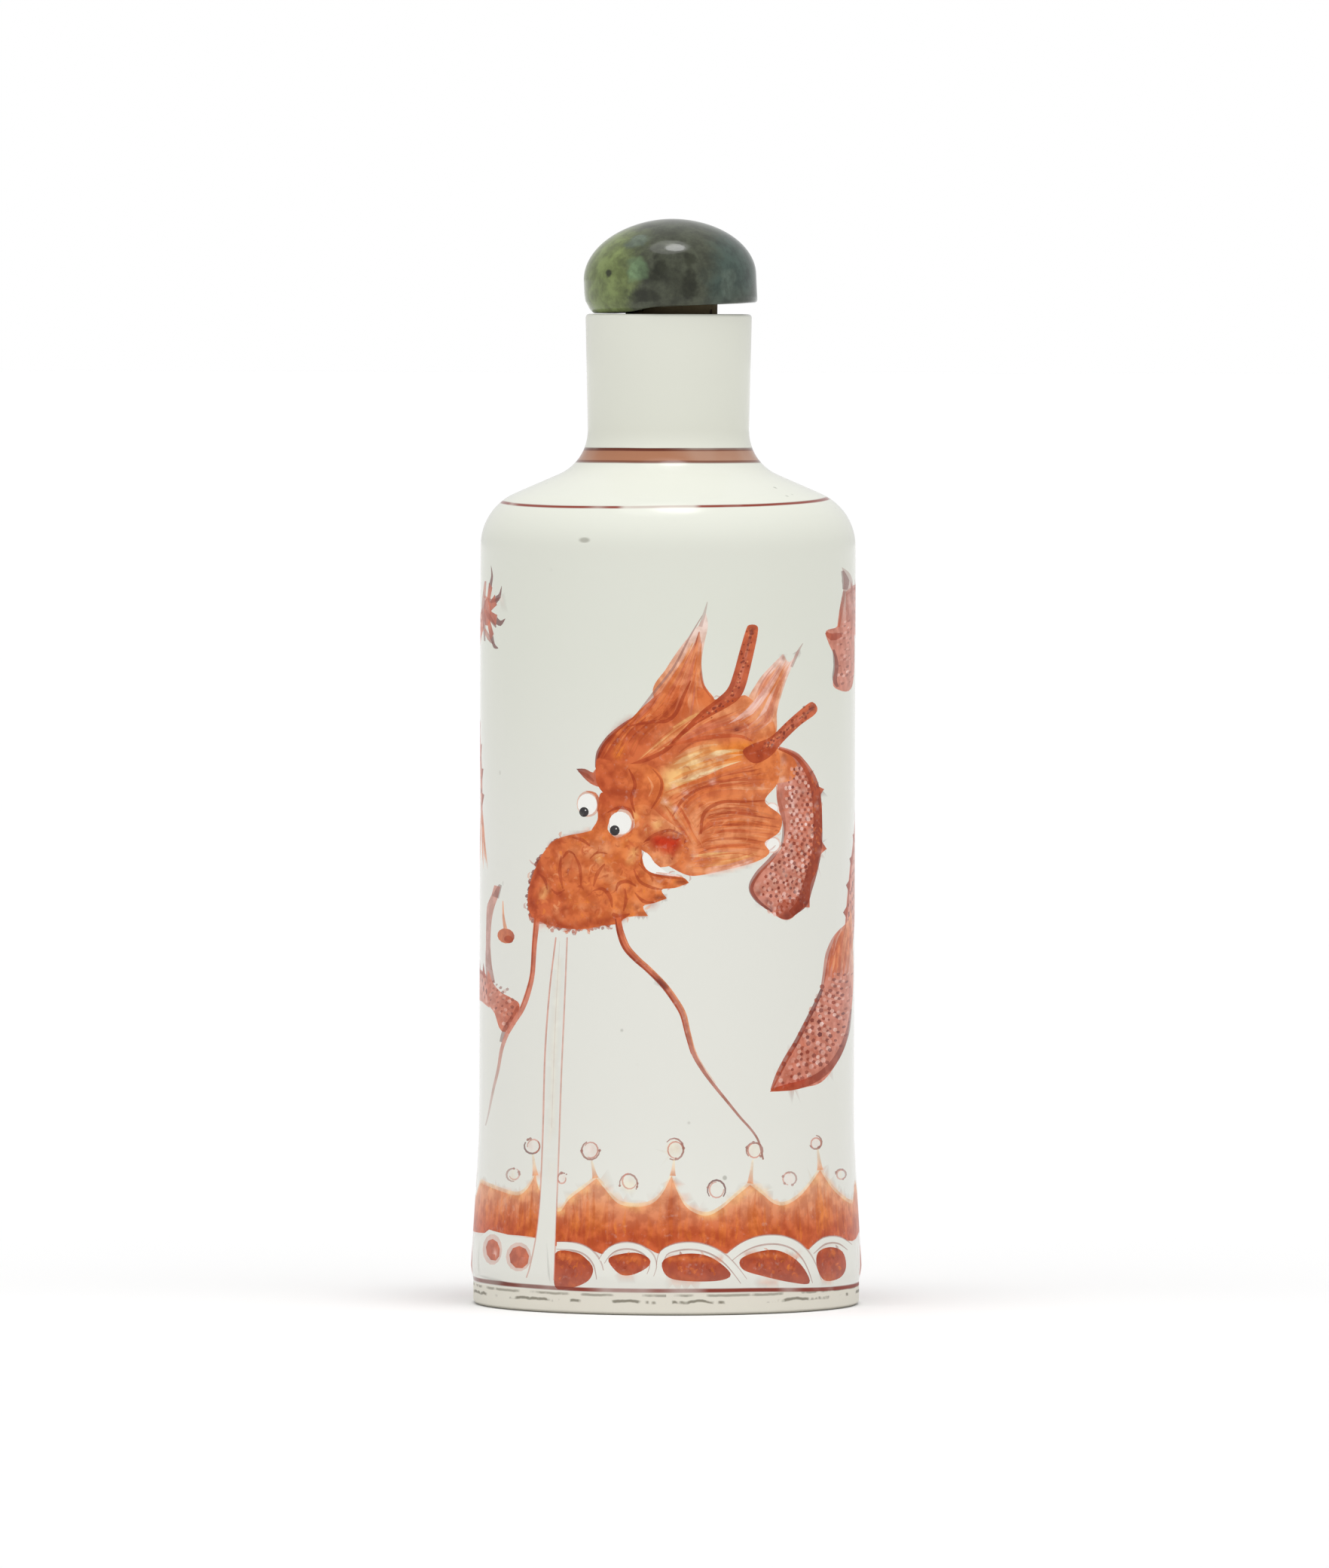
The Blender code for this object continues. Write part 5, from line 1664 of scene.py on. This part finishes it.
def porcelain(colours):
    """White glaze with the enamel, the ring lines and the ivory foot, with painted shade in the crease
    under the neck band and along the foot's lowest edge.
    """
    finish = Finish("painted porcelain", roughness=0.14, specular_ior_level=0.2)
    x, y, z = finish.axes()
    neck = finish.step(z, 0.0660, 0.0685)
    upper = finish.step(z, 0.0330, 0.0560)
    cloud = finish.noise(60.0, 2.0)
    # The wall's white is painted greyer towards the top of the wall, and greyer again on the neck.
    glaze = finish.mix(upper * 0.8 + (cloud - 0.5) * 0.4, colours.glaze, colours.upper_wall_tone)
    glaze = finish.mix(neck, glaze, colours.neck_tone)
    speck = finish.step(finish.cells(420.0), 0.10, 0.05) * finish.step(finish.noise(90.0), 0.60, 0.68)
    glaze = finish.mix(speck * 0.4, glaze, colours.soil_and_contact_shade)
    pit = finish.step(finish.patch((-0.00663, -0.01343, 0.0613), (0.0006, 0.0010, 0.00028)), 1.0, 0.4)
    glaze = finish.mix(pit * 0.45, glaze, colours.soil_and_contact_shade)

    enamel = finish.node("ShaderNodeAttribute", {"attribute_name": "enamel"}, {}, "Color")
    cover = Field(finish, enamel.socket.node.outputs["Alpha"])
    brush = finish.noise(2600.0, 3.0)
    flow = finish.noise(420.0, 2.0)
    parts = finish.node("ShaderNodeSeparateColor", {}, {0: enamel}).socket.node
    warmth = Field(finish, parts.outputs[0]) - Field(finish, parts.outputs[2])
    density = finish.step(finish.noise(1100.0, 4.0), 0.36, 0.64)
    density = finish.mix(density, (0.86, 0.74, 0.66), (1.14, 1.24, 1.30))
    density = finish.mix(finish.step(warmth, 0.05, 0.30), (1.0, 1.0, 1.0), density)
    tone = finish.mix(1.0, enamel, density, "MULTIPLY")
    laid = cover * finish.step(brush + (flow - 0.5) * 0.5, 0.16, 0.40, 0.86, 1.0)
    surface = finish.mix(laid, glaze, tone)

    around = finish.math("ARCTAN2", x, y)
    dry = finish.noise(170.0, 2.0, (1.0, 1.0, 0.15))
    radius = finish.math("SQRT", x * x + y * y)

    def line(height, half, soft):
        """A painted ring at a height that may vary round the bottle."""
        gap = finish.math("ABSOLUTE", z - height)
        return finish.step(gap, half + soft, half)

    outside_neck = finish.step(radius, 0.0056, 0.0059)
    wobble = (finish.noise(120.0, 1.0, (1.0, 1.0, 0.0)) - 0.5) * 0.0001
    band = line(0.06790 + wobble, 0.00044, 0.00012) * outside_neck
    band_top = line(0.06842 + wobble, 0.00008, 0.00008) * outside_neck
    # Painted shade: a dark line along the band's lower edge, in the crease at the neck's root.
    band_crease_shade = line(0.06744 + wobble, 0.00007, 0.00008) * outside_neck
    surface = finish.mix(band * finish.step(dry, 0.2, 0.6, 0.70, 0.95), surface, colours.band)
    surface = finish.mix(band_crease_shade * 0.75, surface, colours.dark_line_and_crease_shade)
    surface = finish.mix(band_top * finish.step(dry, 0.3, 0.6, 0.65, 1.0), surface, colours.dark_line_and_crease_shade)

    front = finish.step(y / radius, 0.0, -1.0)
    height = 0.06435 + x * 0.0131 - front * 0.00038 + wobble
    shoulder = line(height, 0.00005, 0.00009) * finish.step(radius, 0.0100, 0.0104)
    gap_in_front = finish.step(finish.math("ABSOLUTE", x + 0.0007), 0.0034, 0.0026)
    thin = 1.0 - gap_in_front * finish.step(y, 0.0, -0.004) * 0.6
    worn = finish.step(dry, 0.34, 0.50, 0.35, 1.0)
    surface = finish.mix(shoulder * thin * worn, surface, colours.line)

    left_sag = finish.step(x, -0.0060, -0.0145)
    right_drop = finish.step(x, 0.0060, 0.0145)
    foot_height = 0.00198 + wobble * 0.6 + left_sag * 0.00008 - right_drop * 0.0003
    foot_line = line(foot_height, 0.00010, 0.00012) * finish.step(radius, 0.0130, 0.0134)
    below = finish.step(z, 0.00190, 0.00170) * finish.step(radius, 0.0130, 0.0134)
    surface = finish.mix(below, surface, colours.foot)
    marks = finish.noise(900.0, 3.0, (1.0, 1.0, 0.5))
    turns = finish.node("ShaderNodeCombineXYZ", {}, {0: around * 0.0085, 2: z * 0.4})
    run = finish.node("ShaderNodeTexNoise", {}, {"Vector": turns, "Scale": 900.0, "Detail": 3.0})
    broken = finish.step(run + (marks - 0.5) * 0.5, 0.46, 0.56)
    wander = (run - 0.5) * 0.0006
    dashes = line(0.00105 + wander, 0.00005, 0.00012) * broken
    upper = line(0.00160 + wander * 0.5, 0.00005, 0.00009) * finish.step(1.0 - run, 0.44, 0.56)
    dashes = finish.math("MAXIMUM", dashes, upper * 0.75)
    surface = finish.mix(dashes * below * 0.75, surface, colours.soil_and_contact_shade)
    # Painted shadow: the foot's lowest edge is darkened where it meets the floor.
    foot_contact_shade = finish.step(z, 0.00030, 0.00008) * finish.step(radius, 0.0148, 0.0150)
    surface = finish.mix(foot_contact_shade * 0.5, surface, colours.soil_and_contact_shade)
    surface = finish.mix(foot_line * finish.step(dry, 0.3, 0.55, 0.5, 1.0), surface, colours.line)
    surface = finish.mix(foot_line * left_sag * 0.5, surface, colours.dark_line_and_crease_shade)

    rough = 0.14 + laid * 0.16 + below * 0.35
    ripple_height = finish.noise(55.0, 2.0, (1.0, 1.0, 0.7)) - pit * 0.3
    bump = finish.bump(ripple_height, 0.12, 0.0006)
    return finish.set(base_color=surface, roughness=rough, normal=bump)


def green_stone(colours):
    """Polished stone, olive on the left, dark in the middle and grey teal on the right, with painted
    reflection of a dark room as three dark patches on the front of the dome.
    """
    finish = Finish("polished green stone", roughness=0.10, specular_ior_level=0.32)
    x, _, z = finish.axes()
    cloud = finish.noise(230.0, 5.0, (1.0, 1.0, 1.2), 0.6)
    fine = finish.noise(800.0, 5.0, roughness=0.65)
    swirl = finish.noise(520.0, 2.0, (1.0, 1.0, 1.4))
    across = x + (cloud - 0.5) * 0.0060
    stone = finish.mix(finish.step(across, -0.0040, -0.0014), colours.olive, colours.stone)
    stone = finish.mix(finish.step(across, 0.0020, 0.0044), stone, colours.teal)
    low = finish.step(z + (cloud - 0.5) * 0.0030, 0.0820, 0.0795)
    stone = finish.mix(low * finish.step(x, -0.0035, -0.0010) * 0.55, stone, colours.stone)
    high = finish.step(z, 0.0852, 0.0866)
    stone = finish.mix(high * 0.6, stone, (0.075, 0.085, 0.062))
    for place, size, share, tone in (
        ((-0.00253, -0.00626, 0.0830), (0.0008, 0.0008, 0.0008), 0.7, colours.jade),
        ((-0.00247, -0.00460, 0.08506), (0.0011, 0.0011, 0.0007), 0.75, colours.ash),
        ((-0.00482, -0.00487, 0.0825), (0.00034, 0.00034, 0.00030), 0.9, colours.inclusion_and_dark_reflection),
        ((-0.00205, -0.00658, 0.08066), (0.00115, 0.00115, 0.00050), 0.8, colours.inclusion_and_dark_reflection),
        # The next three patches are painted reflection of a dark room in the polished dome.
        ((0.00010, -0.00660, 0.0822), (0.0019, 0.0014, 0.0018), 0.45, colours.inclusion_and_dark_reflection),
        ((-0.00066, -0.00660, 0.0828), (0.0006, 0.0010, 0.0010), 0.85, colours.inclusion_and_dark_reflection),
        ((0.00157, -0.00650, 0.0823), (0.0005, 0.0012, 0.0019), 0.75, colours.inclusion_and_dark_reflection),
        ((0.0046, -0.0050, 0.0816), (0.0007, 0.0010, 0.0009), 0.5, colours.ash),
    ):
        ragged = finish.patch(place, size) + (swirl - 0.5) * 3.2 + (fine - 0.5) * 0.8
        stone = finish.mix(finish.step(ragged, 1.35, 0.55) * share, stone, tone)
    mottle = finish.mix(finish.step(fine, 0.35, 0.68), (0.72, 0.72, 0.70), (1.28, 1.30, 1.26))
    stone = finish.mix(1.0, stone, mottle, "MULTIPLY")
    bump = finish.bump(finish.noise(700.0, 2.0), 0.05, 0.0002)
    rough = finish.step(fine, 0.3, 0.8, 0.07, 0.18)
    return finish.set(base_color=stone, roughness=rough, normal=bump)


def brown_cork(colours):
    """Dry cork with dark pores, its body painted darker as shade in the gap under the cap."""
    finish = Finish("dry cork", roughness=0.85, specular_ior_level=0.3)
    grain = finish.noise(1500.0, 4.0, (1.0, 1.0, 0.5))
    pore = finish.step(finish.cells(900.0) + (grain - 0.5) * 0.4, 0.22, 0.10)
    body = finish.mix(grain, (0.8, 0.78, 0.74), (1.15, 1.15, 1.15))
    body = finish.mix(1.0, colours.cork, body, "MULTIPLY")
    body = finish.mix(pore * 0.8, body, colours.pore)
    bump = finish.bump(grain - pore * 0.6, 0.5, 0.0002)
    return finish.set(base_color=body, normal=bump)


class SNUFF_OT_bottle(bpy.types.Operator):
    """Makes the bottle and its painting"""

    bl_idname = "snuff.bottle"
    bl_label = "Painted bottle"

    def execute(self, context):
        scene = context.scene
        sizes = scene.snuff_bottle
        profile = bottle_profile(sizes)
        low = sizes.foot_band / MM
        outer = [n for n, p in enumerate(profile) if p.x > WALL_INNER * MM]
        first_wall = next(n for n in outer if abs(profile[n].y - sizes.foot_band) < 1e-7)
        after_wall = next(n for n, p in enumerate(profile) if p.y > WALL_TOP * MM)
        rim = max(range(len(profile)), key=lambda n: (profile[n].y, -profile[n].x))
        wall = Wall(profile, low)
        marks = wall_marks(wall, scene.snuff_enamels, scene.snuff_stage)
        top_point = Vector((wall.radius(WALL_TOP) * MM, WALL_TOP * MM))
        lower = profile[: first_wall + 1]
        upper = [top_point] + profile[after_wall:]
        drawn = drawn_profiles("bottle_body", [stepped(lower, BOTTLE_RUN), stepped(upper, BOTTLE_RUN)])
        bottle = spun(drawn, sizes.segments)
        bare = bottle.data.color_attributes.new("enamel", "FLOAT_COLOR", "CORNER")
        bare.data.foreach_set("color", np.zeros(len(bottle.data.loops) * 4, np.float32))
        painted = painted_wall(wall, marks, sizes.segments)
        deselect_all()
        bottle.select_set(True)
        painted.select_set(True)
        context.view_layer.objects.active = bottle
        bpy.ops.object.join()
        bpy.ops.object.mode_set(mode="EDIT")
        bpy.ops.mesh.select_all(action="DESELECT")
        bpy.ops.mesh.select_mode(type="VERT")
        bpy.ops.mesh.select_non_manifold()
        bpy.ops.mesh.remove_doubles(threshold=2e-6)
        bpy.ops.object.mode_set(mode="OBJECT")
        bottle.name = "porcelain_bottle"
        bottle.data.name = "porcelain_bottle"
        bpy.ops.object.shade_smooth()
        self.smooth_wall(bottle.data, wall)
        unrolled_map(bottle.data, profile, (rim, BOTTLE_OUTSIDE_SHARE))
        only_material(bottle, porcelain(scene.snuff_finishes))
        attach(bottle, "root")
        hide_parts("bottle")
        return {"FINISHED"}

    def smooth_wall(self, mesh, wall):
        """Gives the painted wall the normals of the true curve, whatever its triangles are."""
        points = vertex_places(mesh) / MM
        radius = np.hypot(points[:, 0], points[:, 1])
        on_wall = (radius > WALL_INNER) & (points[:, 2] > wall.low + 0.3)
        on_wall &= points[:, 2] < wall.high + 0.01
        places = np.stack([np.arctan2(points[:, 0], -points[:, 1]) * UNROLLED_RADIUS, points[:, 2]], 1)
        normals = np.zeros((len(points), 3))
        normals[on_wall] = wall.normals(places[on_wall])
        mesh.normals_split_custom_set_from_vertices(normals.tolist())


def stopper_place(stopper, bottle):
    """Where the stopper stands and how it leans."""
    rim = bottle.neck_radius + bottle.rim_flare
    lift = stopper.gap + (rim + stopper.shift) * math.sin(stopper.tilt)
    place = Matrix.Translation((stopper.shift, 0.0, bottle.height + lift))
    return place @ Matrix.Rotation(-stopper.tilt, 4, "Y")


def cork_radii(stopper, bottle):
    top = bottle.neck_radius - bottle.neck_wall - stopper.clearance - stopper.shift
    return top, top - stopper.reach * math.sin(stopper.tilt) - stopper.taper


# Edges of the stopper's pieces that turn more than this stay sharp, in degrees
SHARP_TURN = 40.0


def finish_stopper_piece(piece, place, profile, material, node):
    """Leans a stopper piece into its place and hands it to the frame."""
    bpy.ops.object.shade_smooth_by_angle(angle=math.radians(SHARP_TURN))
    unrolled_map(piece.data, profile, (len(profile) - 2, STOPPER_OUTSIDE_SHARE))
    piece.matrix_world = place
    deselect_all()
    piece.select_set(True)
    bpy.context.view_layer.objects.active = piece
    bpy.ops.object.transform_apply(location=True, rotation=True, scale=True)
    only_material(piece, material)
    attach(piece, "root")
    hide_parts(node)


# Steps from the cap's side to its top, and how much more pointed than an ellipse the dome is
DOME_STEPS = 40
DOME_POINT = 1.04
# How far to the low side the cap's wear starts and is full, and how far from its socket it stays
WEAR_START = 0.0012
WEAR_FULL = 0.0037
WEAR_CLEAR = 0.0002


class SNUFF_OT_cap(bpy.types.Operator):
    """Makes the domed stone cap"""

    bl_idname = "snuff.cap"
    bl_label = "Stone cap"

    def execute(self, context):
        scene = context.scene
        bottle, stopper = scene.snuff_bottle, scene.snuff_stopper
        radius = bottle.neck_radius + bottle.rim_flare + stopper.overhang
        socket = cork_radii(stopper, bottle)[0] + stopper.socket_gap
        under = rounded(
            [
                (0.0, stopper.socket, 0.0),
                (socket, stopper.socket, 0.0),
                (socket, 0.0, 0.0),
                (radius, 0.0, stopper.edge),
                (radius, stopper.skirt, 0.0),
            ]
        )
        angles = [math.pi / 2 * n / DOME_STEPS for n in range(1, DOME_STEPS)]
        dome = [
            Vector((radius * math.cos(a) ** DOME_POINT, stopper.skirt + stopper.dome * math.sin(a)))
            for a in angles
        ]
        profile = stepped(under + dome + [Vector((0.0, stopper.skirt + stopper.dome))], STOPPER_RUN)
        cap = spun(drawn_profiles("stone_cap", [profile]), stopper.segments)
        self.wear(cap.data, stopper, socket, radius)
        context.view_layer.objects.active = cap
        cap.select_set(True)
        finish_stopper_piece(
            cap, stopper_place(stopper, bottle), profile, green_stone(scene.snuff_finishes),
            "stopper_cap",
        )
        return {"FINISHED"}

    def wear(self, mesh, stopper, socket, radius):
        """Rounds the low side's edge, and lets that side reach down to the rim, as it was ground."""
        for vertex in mesh.vertices:
            across = math.hypot(vertex.co.x, vertex.co.y)
            if across < socket + WEAR_CLEAR or vertex.co.z > stopper.worn_height:
                continue
            low = min(1.0, max(0.0, (-vertex.co.x - WEAR_START) / (WEAR_FULL - WEAR_START)))
            low = low * low * (3.0 - 2.0 * low)
            share = (1.0 - vertex.co.z / stopper.worn_height) ** 2 * low
            drop = stopper.sag + (radius - across) * math.sin(stopper.tilt)
            bite = share * stopper.worn_edge * (across / radius) ** 6
            vertex.co.x *= 1.0 - bite / across
            vertex.co.y *= 1.0 - bite / across
            vertex.co.z -= share * drop


class SNUFF_OT_cork(bpy.types.Operator):
    """Makes the cork that goes down the neck"""

    bl_idname = "snuff.cork"
    bl_label = "Cork"

    def execute(self, context):
        scene = context.scene
        bottle, stopper = scene.snuff_bottle, scene.snuff_stopper
        top_radius, end_radius = cork_radii(stopper, bottle)
        top = stopper.socket - stopper.socket_gap
        profile = rounded(
            [
                (0.0, -stopper.reach, 0.0),
                (end_radius, -stopper.reach, stopper.end_round),
                (top_radius, 0.0, 0.0),
                (top_radius, top, 0.0),
                (0.0, top, 0.0),
            ]
        )
        profile = stepped(profile, STOPPER_RUN)
        cork = spun(drawn_profiles("brown_cork", [profile]), stopper.segments)
        context.view_layer.objects.active = cork
        cork.select_set(True)
        finish_stopper_piece(
            cork, stopper_place(stopper, bottle), profile, brown_cork(scene.snuff_finishes),
            "stopper_cork",
        )
        return {"FINISHED"}


# The height of the camera's sensor in mm, which the lens property goes with
SENSOR_HEIGHT = 36.0
# How strongly the glaze mirrors the white room, where 1 is as the camera sees it
MIRRORED_ROOM = 0.6
# The lights: name, the property with its strength, width in degrees, turn in degrees, and whether
# it shows in the glaze
LIGHTS = (
    ("top_light", "top_light", 40.0, (8.0, 0.0, 6.0), False),
    ("halo_light", "halo_light", 34.0, (6.0, -2.0, 0.0), True),
    ("highlight", "core_light", 18.0, (7.0, 3.0, 0.0), True),
    ("side_light", "side_light", 60.0, (55.0, 0.0, -48.0), False),
    ("side_light", "side_light", 60.0, (55.0, 0.0, 48.0), False),
)


class SNUFF_OT_stage(bpy.types.Operator):
    """Makes the pale floor, the light and the camera"""

    bl_idname = "snuff.stage"
    bl_label = "Stage"

    def execute(self, context):
        look = context.scene.snuff_stage
        self.make_floor(look)
        self.make_world(context.scene, look)
        for name, setting, *shape in LIGHTS:
            self.make_sun(name, getattr(look, setting), *shape)
        self.make_camera(context.scene, look)
        context.scene.view_settings.view_transform = "Standard"
        return {"FINISHED"}

    def make_floor(self, look):
        deselect_all()
        bpy.ops.mesh.primitive_plane_add(size=look.floor_size)
        floor = bpy.context.object
        floor.name = "floor"
        finish = Finish("pale floor", roughness=0.9, specular_ior_level=0.0)
        tint = finish.mix(finish.noise(3.0), look.floor_colour, (0.90, 0.90, 0.90))
        only_material(floor, finish.set(base_color=tint))

    def make_world(self, scene, look):
        """White where the camera sees past the floor, pale in the glaze and dimmer as a light."""
        world = bpy.data.worlds.new("room")
        world.use_nodes = True
        nodes, links = world.node_tree.nodes, world.node_tree.links
        background = nodes["Background"]
        path = nodes.new("ShaderNodeLightPath")
        strength = nodes.new("ShaderNodeMapRange")
        strength.inputs["To Min"].default_value = look.room_light
        strength.inputs["To Max"].default_value = 1.0
        shine = nodes.new("ShaderNodeMath")
        shine.operation = "MULTIPLY_ADD"
        shine.inputs[1].default_value = MIRRORED_ROOM
        links.new(path.outputs["Is Glossy Ray"], shine.inputs[0])
        links.new(path.outputs["Is Camera Ray"], shine.inputs[2])
        links.new(shine.outputs[0], strength.inputs["Value"])
        links.new(strength.outputs[0], background.inputs["Strength"])
        background.inputs["Color"].default_value = (1.0, 1.0, 1.0, 1.0)
        scene.world = world

    def make_sun(self, name, strength, width, turn, shines):
        light = bpy.data.lights.new(name, "SUN")
        light.energy = strength
        light.angle = math.radians(width)
        sun = bpy.data.objects.new(name, light)
        sun.rotation_euler = [math.radians(value) for value in turn]
        sun.visible_glossy = shines
        bpy.context.scene.collection.objects.link(sun)

    def make_camera(self, scene, look):
        lens = bpy.data.cameras.new("camera")
        lens.sensor_fit = "VERTICAL"
        lens.sensor_height = SENSOR_HEIGHT
        lens.lens = look.lens
        lens.clip_start = 0.01
        camera = bpy.data.objects.new("camera", lens)
        place = Vector((look.aim_side, -look.distance, look.camera_height))
        aim = Vector((look.aim_side, 0.0, look.aim_height))
        camera.location = place
        turn = (aim - place).to_track_quat("-Z", "Y")
        camera.rotation_mode = "QUATERNION"
        camera.rotation_quaternion = turn @ Matrix.Rotation(look.roll, 3, "Z").to_quaternion()
        scene.collection.objects.link(camera)
        scene.camera = camera


class SNUFF_PT_panel(bpy.types.Panel):
    """Lists the steps of making the bottle"""

    bl_idname = "SNUFF_PT_panel"
    bl_label = "Snuff bottle"
    bl_space_type = "VIEW_3D"
    bl_region_type = "UI"
    bl_category = "Snuff bottle"

    def draw(self, context):
        for operator in OPERATORS:
            self.layout.operator(operator.bl_idname)
        for name in GROUPS:
            group = getattr(context.scene, name)
            for setting in group.bl_rna.properties:
                if setting.identifier not in ("rna_type", "name"):
                    self.layout.prop(group, setting.identifier)


GROUPS = {
    "snuff_bottle": BottleSizes,
    "snuff_stopper": StopperSizes,
    "snuff_enamels": EnamelColours,
    "snuff_finishes": FinishColours,
    "snuff_stage": StageLook,
}
OPERATORS = (SNUFF_OT_bottle, SNUFF_OT_cap, SNUFF_OT_cork, SNUFF_OT_stage)


def register():
    for group in GROUPS.values():
        bpy.utils.register_class(group)
    for name, group in GROUPS.items():
        setattr(bpy.types.Scene, name, PointerProperty(type=group))
    for operator in OPERATORS:
        bpy.utils.register_class(operator)
    bpy.utils.register_class(SNUFF_PT_panel)


def unregister():
    bpy.utils.unregister_class(SNUFF_PT_panel)
    for operator in reversed(OPERATORS):
        bpy.utils.unregister_class(operator)
    for name in reversed(GROUPS):
        delattr(bpy.types.Scene, name)
    for group in reversed(GROUPS.values()):
        bpy.utils.unregister_class(group)


def main():
    register()
    bpy.ops.snuff.bottle()
    bpy.ops.snuff.cap()
    bpy.ops.snuff.cork()
    bpy.ops.snuff.stage()


if __name__ == "__main__":
    main()
